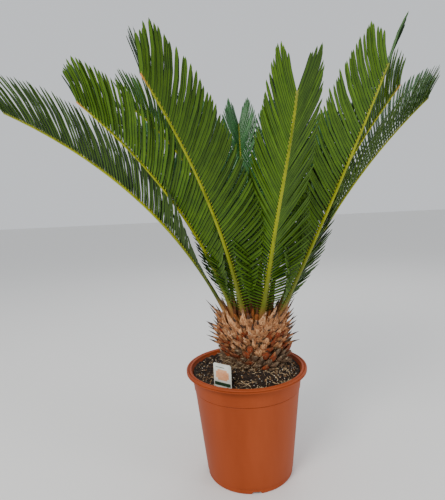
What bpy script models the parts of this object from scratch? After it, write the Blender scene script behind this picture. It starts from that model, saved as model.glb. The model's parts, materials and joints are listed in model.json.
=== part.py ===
"""Sago palm, a cycad, in the round plastic pot that it was grown in.

Metres, +Z up. The origin is the middle of the pot's flat underside. The pot is turned, the compost
fills it to just under the rim, and the stout scaly trunk stands in a shallow seat in the compost, a
little to the right of the pot's axis. The fronds rise from the trunk's flat top in a loose ring. Each
frond is a stiff rib with a row of pointed leaflets along each side. A leaflet that would touch a
neighbouring frond is made shorter, or left out where even a short one would touch.
"""

import math
import random

import bmesh
import bpy
from mathutils import Matrix, Vector
from mathutils.bvhtree import BVHTree

GAP = 0.0003

# Pot
POT_HEIGHT = 0.206
POT_RIM_RADIUS = 0.115
POT_MOUTH_RADIUS = 0.105
POT_FOOT_RADIUS = 0.0835
POT_TOP_RADIUS = 0.1035
POT_WALL = 0.0016
POT_FLOOR = 0.003
RIM_LIP = 0.006
RIM_SKIN = 0.002
RIM_GROOVE = 0.0008
RIM_GROOVE_HALF_WIDTH = 0.0012
EDGE_ROUND = 0.0006
BAND_HEIGHT = 0.036
BAND_STEP = 0.0009
FOOT_HEIGHT = 0.008
FOOT_STEP = 0.001
POT_SIDES = 44
DRAIN_COUNT = 4
DRAIN_WIDTH = 0.018
DRAIN_HEIGHT = 0.004
DRAIN_DEPTH = 0.012
FIRST_DRAIN = math.radians(-86)

# Compost
SOIL_BELOW_RIM = 0.010
MOUND_RISE = 0.021
MOUND_TOP_RADIUS = 0.064
MOUND_RADIUS = 0.083
MOUND_STEPS = 4
MOUND_SUNK = 0.010
SOIL_SIDES = 36
SEAT_CLEARANCE = 0.0009

# Trunk
TRUNK_X = 0.016
TRUNK_FOOT_Z = 0.212
TRUNK_TOP_Z = 0.2977
TRUNK_RADIUS = 0.064
TRUNK_FOOT_RADIUS = 0.057
TRUNK_SIDES = 20
SCALE_COUNT = 84
SCALE_LENGTH = 0.040
SCALE_WIDTH = 0.019
SCALE_THICKNESS = 0.006
SCALE_SUNK = 0.014
SCALE_WIDEST = 0.42
LOWEST_SCALE = 0.17
HIGHEST_SCALE = 0.97
LOWEST_SCALE_STEEPNESS = 34
HIGHEST_SCALE_STEEPNESS = 68
STEEPNESS_SCATTER = 9
LOWEST_SCALE_LENGTH = 0.022
GOLDEN_ANGLE = math.radians(137.508)

# Bud of upright bracts in the middle of the crown
BUD_RADIUS = 0.022
BRACT_COUNT = 13
BRACT_LENGTH = 0.064
BRACT_WIDTH = 0.012
BRACT_THICKNESS = 0.003
BRACT_WIDEST = 0.4
BUD_CORE_HEIGHT = 0.029
BUD_CORE_TOP_RADIUS = 0.008
BRACT_SUNK = 0.004
BRACT_SPREAD = 0.006

# Plant label
LABEL_X = -0.0455
LABEL_Y = -0.077
LABEL_WIDTH = 0.0345
LABEL_TOP_Z = 0.237
LABEL_DEPTH_IN_SOIL = 0.018
LABEL_THICKNESS = 0.0012
LABEL_LEAN = math.radians(5)
LABEL_TURN = math.radians(-30)
LABEL_TILT = math.radians(3)
LABEL_CORNER = 0.0016

# Fronds
RIB_POINTS = 13
RIB_FOOT_RADIUS = 0.0050
RIB_MIDDLE_RADIUS = 0.0034
RIB_TIP_RADIUS = 0.0013
RIB_MIDDLE = 0.4
LEAFLETS_A_SIDE = 24
LEAFLET_LENGTH = 0.108
LEAFLET_FULL_WIDTH_FROM = 0.05
LEAFLET_FILL = 0.82
LEAFLET_SUNK = 0.3
LEAFLET_THICKNESS = 0.0015
LEAFLET_CHORD = math.radians(7)
LEAFLET_CLEARANCE = 0.0007
CLOSING_FROM = 0.75
FOLD_FROM = 0.10
ROLL_BY = 0.5
CLOSING_ANGLE = 16
FREE_ANGLE = 6
HEEL_SHARE = 0.7
SHORTER = (1.0, 0.8, 0.62, 0.46, 0.32)
SHORTEST_LEAFLET = 0.012

# Each frond: its direction round the trunk, its lean from the vertical at the foot and at the tip, how
# far it turns sideways on the way, its sway to and fro, how far it rolls on its own rib and how much
# further its two rows fold up near the tip, all in degrees. Then its rib's length, its foot's distance
# from the trunk's axis and its longest leaflet. Last come the share of the rib that is bare at the
# foot, and the row, -1 or 1, whose last leaflets close up along the rib, or 0 for neither.
FRONDS = (
    ("frond_left_low", 190, 23, 64, 4, 0, 0, 20, 0.532, 0.045, 0.106, 0.13, 0),
    ("frond_left_front", 208, 17, 51, -1, 0, 0, 20, 0.460, 0.038, 0.101, 0.08, 0),
    ("frond_left_back", 172, -4, 52, 3, 0, 0, 20, 0.472, 0.038, 0.098, 0.10, 0),
    ("frond_front_left", 243, 20, 48, -5, 0, -10, 18, 0.455, 0.034, 0.097, 0.05, 0),
    ("frond_front", 288, 27, 39, -17, -3, -12, 4, 0.410, 0.037, 0.096, 0.05, 0),
    ("frond_front_right", 328, 28, 23, 0, 0, -32, 0, 0.457, 0.050, 0.106, 0.05, 1),
    ("frond_right_front", 350, 20, 38, 1, 0, 0, 18, 0.465, 0.044, 0.096, 0.06, 0),
    ("frond_right_low", 10, 25, 49, -6, 0, 8, 20, 0.510, 0.058, 0.099, 0.10, 0),
    ("frond_right_back", 40, 18, 50, 2, 0, 0, 16, 0.455, 0.040, 0.102, 0.08, 0),
    ("frond_back_right", 66, 12, 42, 0, 0, 0, 16, 0.465, 0.035, 0.102, 0.06, 0),
    ("frond_back", 92, 10, 38, -4, 0, 0, 12, 0.452, 0.035, 0.102, 0.06, 0),
    ("frond_back_left", 118, 12, 42, 3, 0, 0, 16, 0.490, 0.038, 0.102, 0.06, 0),
    ("frond_left_far", 146, 16, 54, 0, 0, 0, 18, 0.475, 0.040, 0.102, 0.08, 0),
)

POT_COLOUR = (0.42, 0.095, 0.035)
SOIL_COLOUR = (0.022, 0.015, 0.010)
TRUNK_COLOUR = (0.33, 0.16, 0.065)
BUD_COLOUR = (0.42, 0.20, 0.075)
LABEL_COLOUR = (0.80, 0.79, 0.73)
FROND_COLOUR = (0.075, 0.16, 0.020)


def clear_scene():
    for obj in list(bpy.data.objects):
        bpy.data.objects.remove(obj, do_unlink=True)


def new_collection(name, parent=None):
    collection = bpy.data.collections.new(name)
    (parent or bpy.context.scene.collection).children.link(collection)
    return collection


def new_material(name, colour, roughness):
    material = bpy.data.materials.new(name)
    material.use_nodes = True
    shader = material.node_tree.nodes["Principled BSDF"]
    shader.inputs["Base Color"].default_value = (*colour, 1.0)
    shader.inputs["Roughness"].default_value = roughness
    shader.inputs["Metallic"].default_value = 0.0
    return material


def object_from(name, mesh_builder, collection, material=None):
    """An object whose mesh is the given bmesh, with its faces pointing out."""
    mesh = bpy.data.meshes.new(name)
    mesh_builder.to_mesh(mesh)
    mesh_builder.free()
    obj = bpy.data.objects.new(name, mesh)
    collection.objects.link(obj)
    if material:
        mesh.materials.append(material)
    return obj


def make_cutter(obj):
    obj.hide_render = True
    obj.display_type = "WIRE"


def turned(name, profile, sides, collection, material=None):
    """A turned shape from (radius, height) points that go down its outer side."""
    mesh = bpy.data.meshes.new(name)
    edges = [(i, i + 1) for i in range(len(profile) - 1)]
    mesh.from_pydata([(radius, 0.0, height) for radius, height in profile], edges, [])
    obj = bpy.data.objects.new(name, mesh)
    collection.objects.link(obj)
    screw = obj.modifiers.new("Turn", "SCREW")
    screw.steps = sides
    screw.render_steps = sides
    screw.use_merge_vertices = True
    screw.merge_threshold = 0.00001
    if material:
        mesh.materials.append(material)
    return obj


def boolean(obj, operation, other, solver="EXACT"):
    """Cuts or joins another object, or all the objects of a collection."""
    modifier = obj.modifiers.new(operation.title(), "BOOLEAN")
    modifier.operation = operation
    modifier.solver = solver
    if isinstance(other, bpy.types.Collection):
        modifier.operand_type = "COLLECTION"
        modifier.collection = other
    else:
        modifier.object = other
    return modifier


def apply_modifiers(obj):
    """Puts the evaluated mesh in place of the object's own, and clears its modifiers."""
    graph = bpy.context.evaluated_depsgraph_get()
    mesh = bpy.data.meshes.new_from_object(obj.evaluated_get(graph))
    obj.modifiers.clear()
    obj.data = mesh


def fuse(obj, pieces_collection):
    """Joins every piece of the collection to the object, then removes the pieces."""
    boolean(obj, "UNION", pieces_collection, "MANIFOLD")
    apply_modifiers(obj)
    for piece in list(pieces_collection.objects):
        bpy.data.objects.remove(piece, do_unlink=True)
    bpy.data.collections.remove(pieces_collection)


def tree_of(obj):
    return BVHTree.FromPolygons(
        [obj.matrix_world @ vertex.co for vertex in obj.data.vertices],
        [tuple(face.vertices) for face in obj.data.polygons],
    )


def blade_points(root, tip, facing, width, thickness, widest):
    """The corners of a pointed blade with a keel under it: root, widest place, point and heel."""
    along = (tip - root).normalized()
    across = along.cross(facing).normalized()
    under = across.cross(along).normalized()
    middle = root.lerp(tip, widest)
    left = middle - across * (width / 2)
    right = middle + across * (width / 2)
    keel = middle - under * thickness
    heel = root - under * (thickness * HEEL_SHARE)
    return [root, left, right, keel, tip, heel]


BLADE_FACES = (
    (0, 2, 1),
    (0, 1, 5),
    (1, 3, 5),
    (0, 5, 2),
    (5, 3, 2),
    (4, 1, 2),
    (4, 2, 3),
    (4, 3, 1),
)


SPIKE_FACES = ((0, 1, 3), (1, 2, 3), (2, 0, 3), (0, 2, 1))


def solid_from(name, points, faces, collection):
    """A small solid from its corners. No primitive gives these shapes, so their faces are listed."""
    builder = bmesh.new()
    corners = [builder.verts.new(point) for point in points]
    for face in faces:
        builder.faces.new([corners[i] for i in face])
    return object_from(name, builder, collection)


def touches(points, faces, trees):
    tree = BVHTree.FromPolygons(points, faces)
    return any(tree.overlap(other) for other in trees)


def pot_wall_radius(height):
    """The outer radius of the plain wall at a height above the underside."""
    share = (height - FOOT_HEIGHT) / (POT_HEIGHT - RIM_LIP - FOOT_HEIGHT)
    return POT_FOOT_RADIUS + (POT_TOP_RADIUS - POT_FOOT_RADIUS) * share


def make_pot(collection, cutters, material):
    """The inner wall from the floor up, over the rolled rim, then the outer wall down to the foot."""
    under_rim = POT_HEIGHT - RIM_LIP
    band_foot = POT_HEIGHT - BAND_HEIGHT
    mouth = POT_MOUTH_RADIUS
    rim = POT_RIM_RADIUS
    groove = (mouth + rim) / 2
    rim_underside = POT_HEIGHT - RIM_SKIN - RIM_GROOVE
    profile = [
        (0.0, POT_FLOOR),
        (pot_wall_radius(POT_FLOOR) - POT_WALL, POT_FLOOR),
        (pot_wall_radius(band_foot) - POT_WALL, band_foot),
        (POT_TOP_RADIUS - POT_WALL, under_rim),
        (mouth - EDGE_ROUND, POT_HEIGHT - 2 * EDGE_ROUND),
        (mouth + EDGE_ROUND, POT_HEIGHT),
        (groove - RIM_GROOVE_HALF_WIDTH, POT_HEIGHT),
        (groove, POT_HEIGHT - RIM_GROOVE),
        (groove + RIM_GROOVE_HALF_WIDTH, POT_HEIGHT),
        (rim - 2 * EDGE_ROUND, POT_HEIGHT),
        (rim, POT_HEIGHT - 3 * EDGE_ROUND),
        (rim, under_rim),
        (rim - RIM_SKIN, under_rim),
        (rim - RIM_SKIN, rim_underside),
        (POT_TOP_RADIUS + RIM_SKIN, rim_underside),
        (pot_wall_radius(under_rim) + BAND_STEP, under_rim - RIM_SKIN),
        (pot_wall_radius(band_foot) + BAND_STEP, band_foot),
        (pot_wall_radius(band_foot), band_foot - BAND_STEP),
        (pot_wall_radius(FOOT_HEIGHT), FOOT_HEIGHT),
        (POT_FOOT_RADIUS - FOOT_STEP, FOOT_HEIGHT - FOOT_STEP),
        (POT_FOOT_RADIUS - FOOT_STEP, 2 * EDGE_ROUND),
        (POT_FOOT_RADIUS - FOOT_STEP - 2 * EDGE_ROUND, 0.0),
        (0.0, 0.0),
    ]
    pot = turned("pot", profile, POT_SIDES, collection, material)
    for i in range(DRAIN_COUNT):
        angle = FIRST_DRAIN + i * math.tau / DRAIN_COUNT
        bpy.ops.mesh.primitive_cube_add(size=1.0)
        slot = bpy.context.object
        slot.name = f"drain_cutter_{i + 1}"
        slot.data.transform(Matrix.Diagonal((2 * DRAIN_DEPTH, DRAIN_WIDTH, 2 * DRAIN_HEIGHT, 1.0)))
        slot.location = (POT_FOOT_RADIUS * math.cos(angle), POT_FOOT_RADIUS * math.sin(angle), 0.0)
        slot.rotation_euler[2] = angle
        move_to(slot, cutters)
        make_cutter(slot)
        boolean(pot, "DIFFERENCE", slot)
    pot.data.shade_smooth()


def move_to(obj, collection):
    for other in list(obj.users_collection):
        other.objects.unlink(obj)
    collection.objects.link(obj)


def make_soil(collection, cutters, material):
    """A turned plug of compost with a low mound round the trunk, and seats for trunk and label."""
    surface = POT_HEIGHT - SOIL_BELOW_RIM
    band_foot = POT_HEIGHT - BAND_HEIGHT
    inset = POT_WALL + GAP
    profile = [
        (0.0, surface),
        (pot_wall_radius(surface) - inset - EDGE_ROUND, surface),
        (pot_wall_radius(band_foot) - inset, band_foot),
        (pot_wall_radius(2 * POT_FLOOR) - inset, 2 * POT_FLOOR),
        (pot_wall_radius(POT_FLOOR) - inset - GAP, POT_FLOOR + GAP),
        (0.0, POT_FLOOR + GAP),
    ]
    soil = turned("soil", profile, SOIL_SIDES, collection, material)
    mound_profile = [(0.0, surface + MOUND_RISE)]
    for i in range(MOUND_STEPS + 1):
        share = i / MOUND_STEPS
        rise = MOUND_RISE * (0.5 + 0.5 * math.cos(math.pi * share)) - GAP * share
        mound_profile.append((MOUND_TOP_RADIUS + (MOUND_RADIUS - MOUND_TOP_RADIUS) * share, surface + rise))
    mound_profile += [(MOUND_TOP_RADIUS, surface - MOUND_SUNK), (0.0, surface - MOUND_SUNK)]
    mound = turned("mound_former", mound_profile, SOIL_SIDES, cutters)
    mound.location = (TRUNK_X, 0.0, 0.0)
    make_cutter(mound)
    boolean(soil, "UNION", mound)
    seat_radius = trunk_radius(0.0) + SEAT_CLEARANCE
    seat_floor = TRUNK_FOOT_Z - GAP
    seat_profile = [
        (0.0, TRUNK_TOP_Z),
        (seat_radius + TRUNK_TOP_Z - seat_floor, TRUNK_TOP_Z),
        (seat_radius, seat_floor),
        (0.0, seat_floor),
    ]
    seat = turned("trunk_seat_cutter", seat_profile, SOIL_SIDES, cutters)
    seat.location = (TRUNK_X, 0.0, 0.0)
    make_cutter(seat)
    boolean(soil, "DIFFERENCE", seat)
    slot = label_card("label_slot_cutter", GAP, cutters)
    make_cutter(slot)
    boolean(soil, "DIFFERENCE", slot)


def label_card(name, grow, collection, material=None):
    """The label's card, or with grow the slot that it stands in. Its corners are cut."""
    height = LABEL_TOP_Z - (POT_HEIGHT - SOIL_BELOW_RIM) + LABEL_DEPTH_IN_SOIL
    builder = bmesh.new()
    bmesh.ops.create_cube(builder, size=1.0)
    size = Vector((LABEL_WIDTH + 2 * grow, LABEL_THICKNESS + 2 * grow, height + 2 * grow))
    bmesh.ops.scale(builder, vec=size, verts=builder.verts[:])
    upright = [edge for edge in builder.edges if abs(edge.verts[0].co.y - edge.verts[1].co.y) > 1e-6]
    bmesh.ops.bevel(builder, geom=upright, offset=LABEL_CORNER, segments=2, affect="EDGES")
    card = object_from(name, builder, collection, material)
    centre = Vector((LABEL_X, LABEL_Y, LABEL_TOP_Z - height / 2))
    lean = Matrix.Rotation(LABEL_LEAN, 4, "X") @ Matrix.Rotation(LABEL_TILT, 4, "Y")
    card.data.transform(Matrix.Translation(centre) @ Matrix.Rotation(LABEL_TURN, 4, "Z") @ lean)
    return card


def trunk_radius(share):
    """The barrel's radius at a share of its height, from foot to top."""
    swell = math.sin(math.pi * min(1.0, 0.12 + 0.80 * share))
    return TRUNK_FOOT_RADIUS + (TRUNK_RADIUS - TRUNK_FOOT_RADIUS) * swell


def make_trunk(collection, material, ribs):
    """A squat barrel, fused with the dry pointed bases of old fronds in one long spiral."""
    height = TRUNK_TOP_Z - TRUNK_FOOT_Z
    rings = 6
    profile = [(0.0, TRUNK_TOP_Z)]
    for i in range(rings + 1):
        share = 1 - i / rings
        profile.append((trunk_radius(share), TRUNK_FOOT_Z + height * share))
    profile.append((0.0, TRUNK_FOOT_Z))
    trunk = turned("trunk", profile, TRUNK_SIDES, collection, material)
    apply_modifiers(trunk)
    trunk.data.transform(Matrix.Translation((TRUNK_X, 0.0, 0.0)))
    scales = new_collection("trunk_scales", collection)
    chance = random.Random(11)
    for i in range(SCALE_COUNT):
        share = i / (SCALE_COUNT - 1)
        angle = i * GOLDEN_ANGLE
        outward = Vector((math.cos(angle), math.sin(angle), 0.0))
        level = LOWEST_SCALE + (HIGHEST_SCALE - LOWEST_SCALE) * share
        steep = LOWEST_SCALE_STEEPNESS + (HIGHEST_SCALE_STEEPNESS - LOWEST_SCALE_STEEPNESS) * share
        steep = math.radians(steep + chance.uniform(-STEEPNESS_SCATTER, STEEPNESS_SCATTER))
        direction = outward * math.cos(steep) + Vector((0.0, 0.0, math.sin(steep)))
        radius = trunk_radius(level)
        surface = Vector((TRUNK_X, 0.0, TRUNK_FOOT_Z + height * level)) + outward * radius
        root = surface - direction * SCALE_SUNK
        length = LOWEST_SCALE_LENGTH + (SCALE_LENGTH - LOWEST_SCALE_LENGTH) * share
        tip = surface + direction * (length * chance.uniform(0.8, 1.15))
        facing = direction.cross(outward.cross(Vector((0.0, 0.0, 1.0)))).normalized()
        width = SCALE_WIDTH * chance.uniform(0.85, 1.1)
        corners = blade_points(root, tip, -facing, width, SCALE_THICKNESS, SCALE_WIDEST)
        if not touches(corners, BLADE_FACES, ribs):
            solid_from(f"scale_{i + 1}", corners, BLADE_FACES, scales)
    fuse(trunk, scales)
    return trunk


def make_bud(collection, material, ribs):
    """The bud: stiff upright bracts fused to a short cone on the trunk's flat top."""
    builder = bmesh.new()
    foot = TRUNK_TOP_Z + GAP
    bmesh.ops.create_cone(
        builder,
        cap_ends=True,
        segments=10,
        radius1=BUD_RADIUS,
        radius2=BUD_CORE_TOP_RADIUS,
        depth=BUD_CORE_HEIGHT,
        matrix=Matrix.Translation((TRUNK_X, 0.0, foot + BUD_CORE_HEIGHT / 2)),
    )
    bud = object_from("crown_bud", builder, collection, material)
    bracts = new_collection("bracts", collection)
    for i in range(BRACT_COUNT):
        angle = i * GOLDEN_ANGLE
        outward = Vector((math.cos(angle), math.sin(angle), 0.0))
        ring = (i % 3) / 2
        reach = BUD_CORE_TOP_RADIUS + (BUD_RADIUS - BRACT_SUNK - BUD_CORE_TOP_RADIUS) * ring
        root = Vector((TRUNK_X, 0.0, foot + BRACT_SUNK)) + outward * reach
        tip = root + outward * BRACT_SPREAD + Vector((0.0, 0.0, BRACT_LENGTH * (0.78 + 0.22 * ring)))
        corners = blade_points(root, tip, outward, BRACT_WIDTH, BRACT_THICKNESS, BRACT_WIDEST)
        if not touches(corners, BLADE_FACES, ribs):
            solid_from(f"bract_{i + 1}", corners, BLADE_FACES, bracts)
    fuse(bud, bracts)
    return bud


class Frond:
    """One frond's rib as a curve in space, with the directions that its leaflets follow."""

    STEPS = 40

    def __init__(self, row):
        name, around, lean_foot, lean_tip, turn, sway, roll, fold = row[:8]
        length, foot_radius, longest, bare, closing = row[8:]
        self.name = name
        self.bare = bare
        self.closing = closing
        self.roll = math.radians(roll)
        self.fold = fold
        self.longest = longest
        start = math.radians(around)
        foot = Vector((math.cos(start), math.sin(start), 0.0)) * foot_radius
        point = Vector((TRUNK_X, 0.0, TRUNK_TOP_Z + GAP)) + foot
        self.points = [point.copy()]
        for i in range(self.STEPS):
            share = (i + 0.5) / self.STEPS
            lean = math.radians(lean_foot + (lean_tip - lean_foot) * share)
            way = math.radians(around + turn * share + sway * math.sin(math.tau * share))
            outward = Vector((math.cos(way), math.sin(way), 0.0)) * math.sin(lean)
            point = point + (outward + Vector((0.0, 0.0, math.cos(lean)))) * (length / self.STEPS)
            self.points.append(point)
        out = self.points[-1] - self.points[0]
        out.z = 0.0
        self.out = out.normalized()

    def at(self, share):
        """The rib's point, and its forward, sideways and inward directions, at a share of its length."""
        place = share * self.STEPS
        i = min(int(place), self.STEPS - 1)
        point = self.points[i].lerp(self.points[i + 1], place - i)
        forward = (self.points[i + 1] - self.points[i]).normalized()
        side = Vector((0.0, 0.0, 1.0)).cross(self.out)
        side = (side - forward * side.dot(forward)).normalized()
        inward = forward.cross(side)
        if inward.dot(Vector((0.0, 0.0, 0.3)) - self.out) < 0:
            inward.negate()
        roll = self.roll * smooth_step(share / ROLL_BY)
        turned_side = side * math.cos(roll) + inward * math.sin(roll)
        turned_inward = inward * math.cos(roll) - side * math.sin(roll)
        return point, forward, turned_side, turned_inward


def smooth_step(value):
    value = max(0.0, min(1.0, value))
    return value * value * (3 - 2 * value)


def leaflet_share(frond, share, hand):
    """A leaflet's length over the longest one's: spines at the foot, full further out, shorter at the end."""
    rise = math.sin(math.pi / 2 * max(0.0, min(1.0, (share - frond.bare) / 0.36)))
    fall = 0.18 * max(0.0, (share - 0.7) / 0.3) ** 2
    if hand != frond.closing:
        fall += 0.34 * smooth_step((share - 0.93) / 0.07)
    return (0.18 + 0.82 * rise**1.15) * (1 - fall)


def leaflet_angle(frond, share, hand):
    """The angle between a leaflet and its rib: wide open at the foot, closing towards the tip."""
    closing = CLOSING_ANGLE if hand == frond.closing else FREE_ANGLE
    closed = closing * smooth_step((share - CLOSING_FROM) / (1 - CLOSING_FROM))
    return math.radians(78 - 37 * share**0.75 - closed)


def leaflet_lift(share, fold):
    """How far the two rows fold up towards each other: bent back at the foot, a steep V further out."""
    rise = 54 * smooth_step((share - FOLD_FROM) / 0.4) + fold * smooth_step((share - 0.55) / 0.4)
    return math.radians(rise - 6)


def rib_radius(share):
    if share < RIB_MIDDLE:
        return RIB_FOOT_RADIUS + (RIB_MIDDLE_RADIUS - RIB_FOOT_RADIUS) * share / RIB_MIDDLE
    outer = (share - RIB_MIDDLE) / (1 - RIB_MIDDLE)
    return RIB_MIDDLE_RADIUS + (RIB_TIP_RADIUS - RIB_MIDDLE_RADIUS) * outer


def make_rib(frond, collection, material):
    """The rib: a tapering rod, cut level where it stands on the trunk."""
    curve = bpy.data.curves.new(frond.name, "CURVE")
    curve.dimensions = "3D"
    curve.bevel_depth = 1.0
    curve.bevel_resolution = 0
    curve.use_fill_caps = True
    spline = curve.splines.new("POLY")
    spline.points.add(RIB_POINTS - 1)
    for i in range(RIB_POINTS):
        share = i / (RIB_POINTS - 1)
        spline.points[i].co = (*frond.at(share)[0], 1.0)
        spline.points[i].radius = rib_radius(share)
    tube = bpy.data.objects.new(frond.name + "_path", curve)
    collection.objects.link(tube)
    graph = bpy.context.evaluated_depsgraph_get()
    mesh = bpy.data.meshes.new_from_object(tube.evaluated_get(graph))
    bpy.data.objects.remove(tube, do_unlink=True)
    builder = bmesh.new()
    builder.from_mesh(mesh)
    bmesh.ops.remove_doubles(builder, verts=builder.verts[:], dist=0.00001)
    foot, forward, _, _ = frond.at(0.0)
    for vertex in builder.verts:
        if (vertex.co - foot).length < 2 * RIB_FOOT_RADIUS:
            vertex.co += forward * ((foot.z - vertex.co.z) / forward.z)
    bmesh.ops.triangulate(builder, faces=builder.faces[:])
    bmesh.ops.recalc_face_normals(builder, faces=builder.faces[:])
    return object_from(frond.name, builder, collection, material)


def leaflet_corners(frond, share, hand, length, spacing, grow=0.0):
    """A leaflet as a flat spike: two corners along the rib's core, a keel under them and the point.

    With grow it is a little larger all round, to test its clearance.
    """
    point, forward, side, inward = frond.at(share)
    angle = leaflet_angle(frond, share, hand)
    lift = leaflet_lift(share, frond.fold)
    sideways = side * (hand * math.cos(lift)) + inward * math.sin(lift)
    chord = angle - LEAFLET_CHORD
    direction = forward * math.cos(chord) + sideways * math.sin(chord)
    facing = direction.cross(forward).normalized()
    if facing.dot(inward) < 0:
        facing.negate()
    half = LEAFLET_FILL * spacing * min(1.0, length / LEAFLET_FULL_WIDTH_FROM) / 2 + grow
    thickness = LEAFLET_THICKNESS * (1 + length / LEAFLET_LENGTH) / 2
    core = point - sideways * (rib_radius(share) * LEAFLET_SUNK) + facing * grow
    back = core - forward * half
    front = core + forward * half
    keel = core - facing * (thickness + 2 * grow)
    tip = point + direction * (length + grow)
    if (front - back).cross(tip - back).dot(facing) < 0:
        back, front = front, back
    return [back, front, keel, tip]


def make_leaflets(frond, rib, obstacles, collection):
    """Grows the two rows of leaflets and joins them to the rib."""
    leaflets = new_collection(frond.name + "_leaflets", collection)
    spacing = (1 - frond.bare) * frond_length(frond) / LEAFLETS_A_SIDE
    for i in range(LEAFLETS_A_SIDE):
        share = frond.bare + (1 - frond.bare) * (i + 0.5) / LEAFLETS_A_SIDE
        for hand in (-1, 1):
            full = frond.longest * leaflet_share(frond, share, hand)
            for shorter in SHORTER:
                length = full * shorter
                if length < SHORTEST_LEAFLET:
                    break
                test = leaflet_corners(frond, share, hand, length, spacing, LEAFLET_CLEARANCE)
                if touches(test, SPIKE_FACES, obstacles):
                    continue
                corners = leaflet_corners(frond, share, hand, length, spacing)
                solid_from(f"leaflet_{i + 1}_{hand}", corners, SPIKE_FACES, leaflets)
                break
    fuse(rib, leaflets)


def frond_length(frond):
    return sum((b - a).length for a, b in zip(frond.points, frond.points[1:]))


def main():
    clear_scene()
    parts = new_collection("sago_palm")
    cutters = new_collection("cutters")
    frond_material = new_material("frond_green", FROND_COLOUR, 0.5)
    fronds = [Frond(row) for row in FRONDS]
    ribs = [make_rib(frond, parts, frond_material) for frond in fronds]
    rib_trees = [tree_of(rib) for rib in ribs]
    make_pot(parts, cutters, new_material("pot_plastic", POT_COLOUR, 0.42))
    make_soil(parts, cutters, new_material("compost", SOIL_COLOUR, 0.95))
    label_card("plant_label", 0.0, parts, new_material("label_card", LABEL_COLOUR, 0.45))
    trunk = make_trunk(parts, new_material("trunk_scales", TRUNK_COLOUR, 0.8), rib_trees)
    bud = make_bud(parts, new_material("bud_bracts", BUD_COLOUR, 0.75), rib_trees)
    standing = [tree_of(trunk), tree_of(bud)]
    for i, frond in enumerate(fronds):
        others = rib_trees[i + 1 :]
        make_leaflets(frond, ribs[i], standing + others, parts)
        standing.append(tree_of(ribs[i]))


main()
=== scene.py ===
"""Looks of a sago palm in the plastic pot that it was grown in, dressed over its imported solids.

Metres, +Z up, with the origin in the middle of the pot's underside. The order is the order of the
making: pot, compost, label, trunk, bud, then the fronds with their ribs and leaflets.
"""

import json
import math
import random

import bmesh
import bpy
from mathutils import Matrix, Vector, noise
from mathutils.bvhtree import BVHTree

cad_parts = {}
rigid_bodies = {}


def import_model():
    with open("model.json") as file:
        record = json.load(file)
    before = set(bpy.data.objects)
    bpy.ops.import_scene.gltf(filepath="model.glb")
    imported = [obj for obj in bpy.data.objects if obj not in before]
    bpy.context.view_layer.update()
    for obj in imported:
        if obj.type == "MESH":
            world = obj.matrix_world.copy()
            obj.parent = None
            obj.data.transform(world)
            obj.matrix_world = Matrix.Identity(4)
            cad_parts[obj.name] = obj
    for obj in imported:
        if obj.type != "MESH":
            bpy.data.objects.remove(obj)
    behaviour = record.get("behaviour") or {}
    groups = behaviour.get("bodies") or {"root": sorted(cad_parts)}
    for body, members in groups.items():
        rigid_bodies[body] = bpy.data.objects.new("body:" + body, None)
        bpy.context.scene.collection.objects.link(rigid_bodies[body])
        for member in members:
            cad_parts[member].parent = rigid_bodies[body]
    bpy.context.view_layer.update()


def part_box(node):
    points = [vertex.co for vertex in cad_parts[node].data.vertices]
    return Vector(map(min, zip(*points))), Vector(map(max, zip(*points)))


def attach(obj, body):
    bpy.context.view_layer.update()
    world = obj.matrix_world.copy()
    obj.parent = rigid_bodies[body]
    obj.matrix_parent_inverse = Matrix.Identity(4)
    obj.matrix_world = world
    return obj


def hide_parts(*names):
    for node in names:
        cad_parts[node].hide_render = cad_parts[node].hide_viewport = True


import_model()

# Camera. It stands in front of the pot and a little below the middle of the fronds, tipped slightly
# down and turned slightly on its own axis.
CAMERA_PLACE = Vector((-0.0355, -0.7488, 0.4994))
CAMERA_LENS = 28.8
CAMERA_TIPPED_DOWN = 0.0921
CAMERA_TURNED = 0.0462

ahead = Vector((0.0, math.cos(CAMERA_TIPPED_DOWN), -math.sin(CAMERA_TIPPED_DOWN)))
down = Vector((0.0, -math.sin(CAMERA_TIPPED_DOWN), -math.cos(CAMERA_TIPPED_DOWN)))
right = Vector((1.0, 0.0, 0.0))
turned_right = right * math.cos(CAMERA_TURNED) + down * math.sin(CAMERA_TURNED)
turned_down = down * math.cos(CAMERA_TURNED) - right * math.sin(CAMERA_TURNED)
camera_data = bpy.data.cameras.new("camera")
camera_data.lens = CAMERA_LENS
camera_data.sensor_width = 36.0
camera = bpy.data.objects.new("camera", camera_data)
bpy.context.scene.collection.objects.link(camera)
camera_turn = Matrix((turned_right, -turned_down, -ahead)).transposed()
camera.matrix_world = Matrix.Translation(CAMERA_PLACE) @ camera_turn.to_4x4()
bpy.context.scene.camera = camera

# Floor and light. A plain pale floor under an even sky, a large soft light over the left shoulder, a
# weak window-like light from the right, and another weak one above and behind the fronds.
FLOOR_SIZE = 60.0
FLOOR_COLOUR = (0.80, 0.79, 0.77)
SKY_COLOUR = (0.93, 0.96, 1.0)
SKY_STRENGTH = 0.80
LIGHTS = (
    # name, place, size, power, colour
    ("light_over_left", (-1.1, -1.7, 2.0), 0.9, 44.0, (1.0, 0.98, 0.94)),
    ("light_from_right", (1.9, -1.1, 1.0), 0.6, 10.0, (0.95, 0.95, 1.0)),
    ("light_behind", (0.5, 1.8, 2.2), 1.2, 14.0, (0.96, 0.98, 1.0)),
)
LIGHT_AIM = Vector((0.0, 0.0, 0.35))

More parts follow.
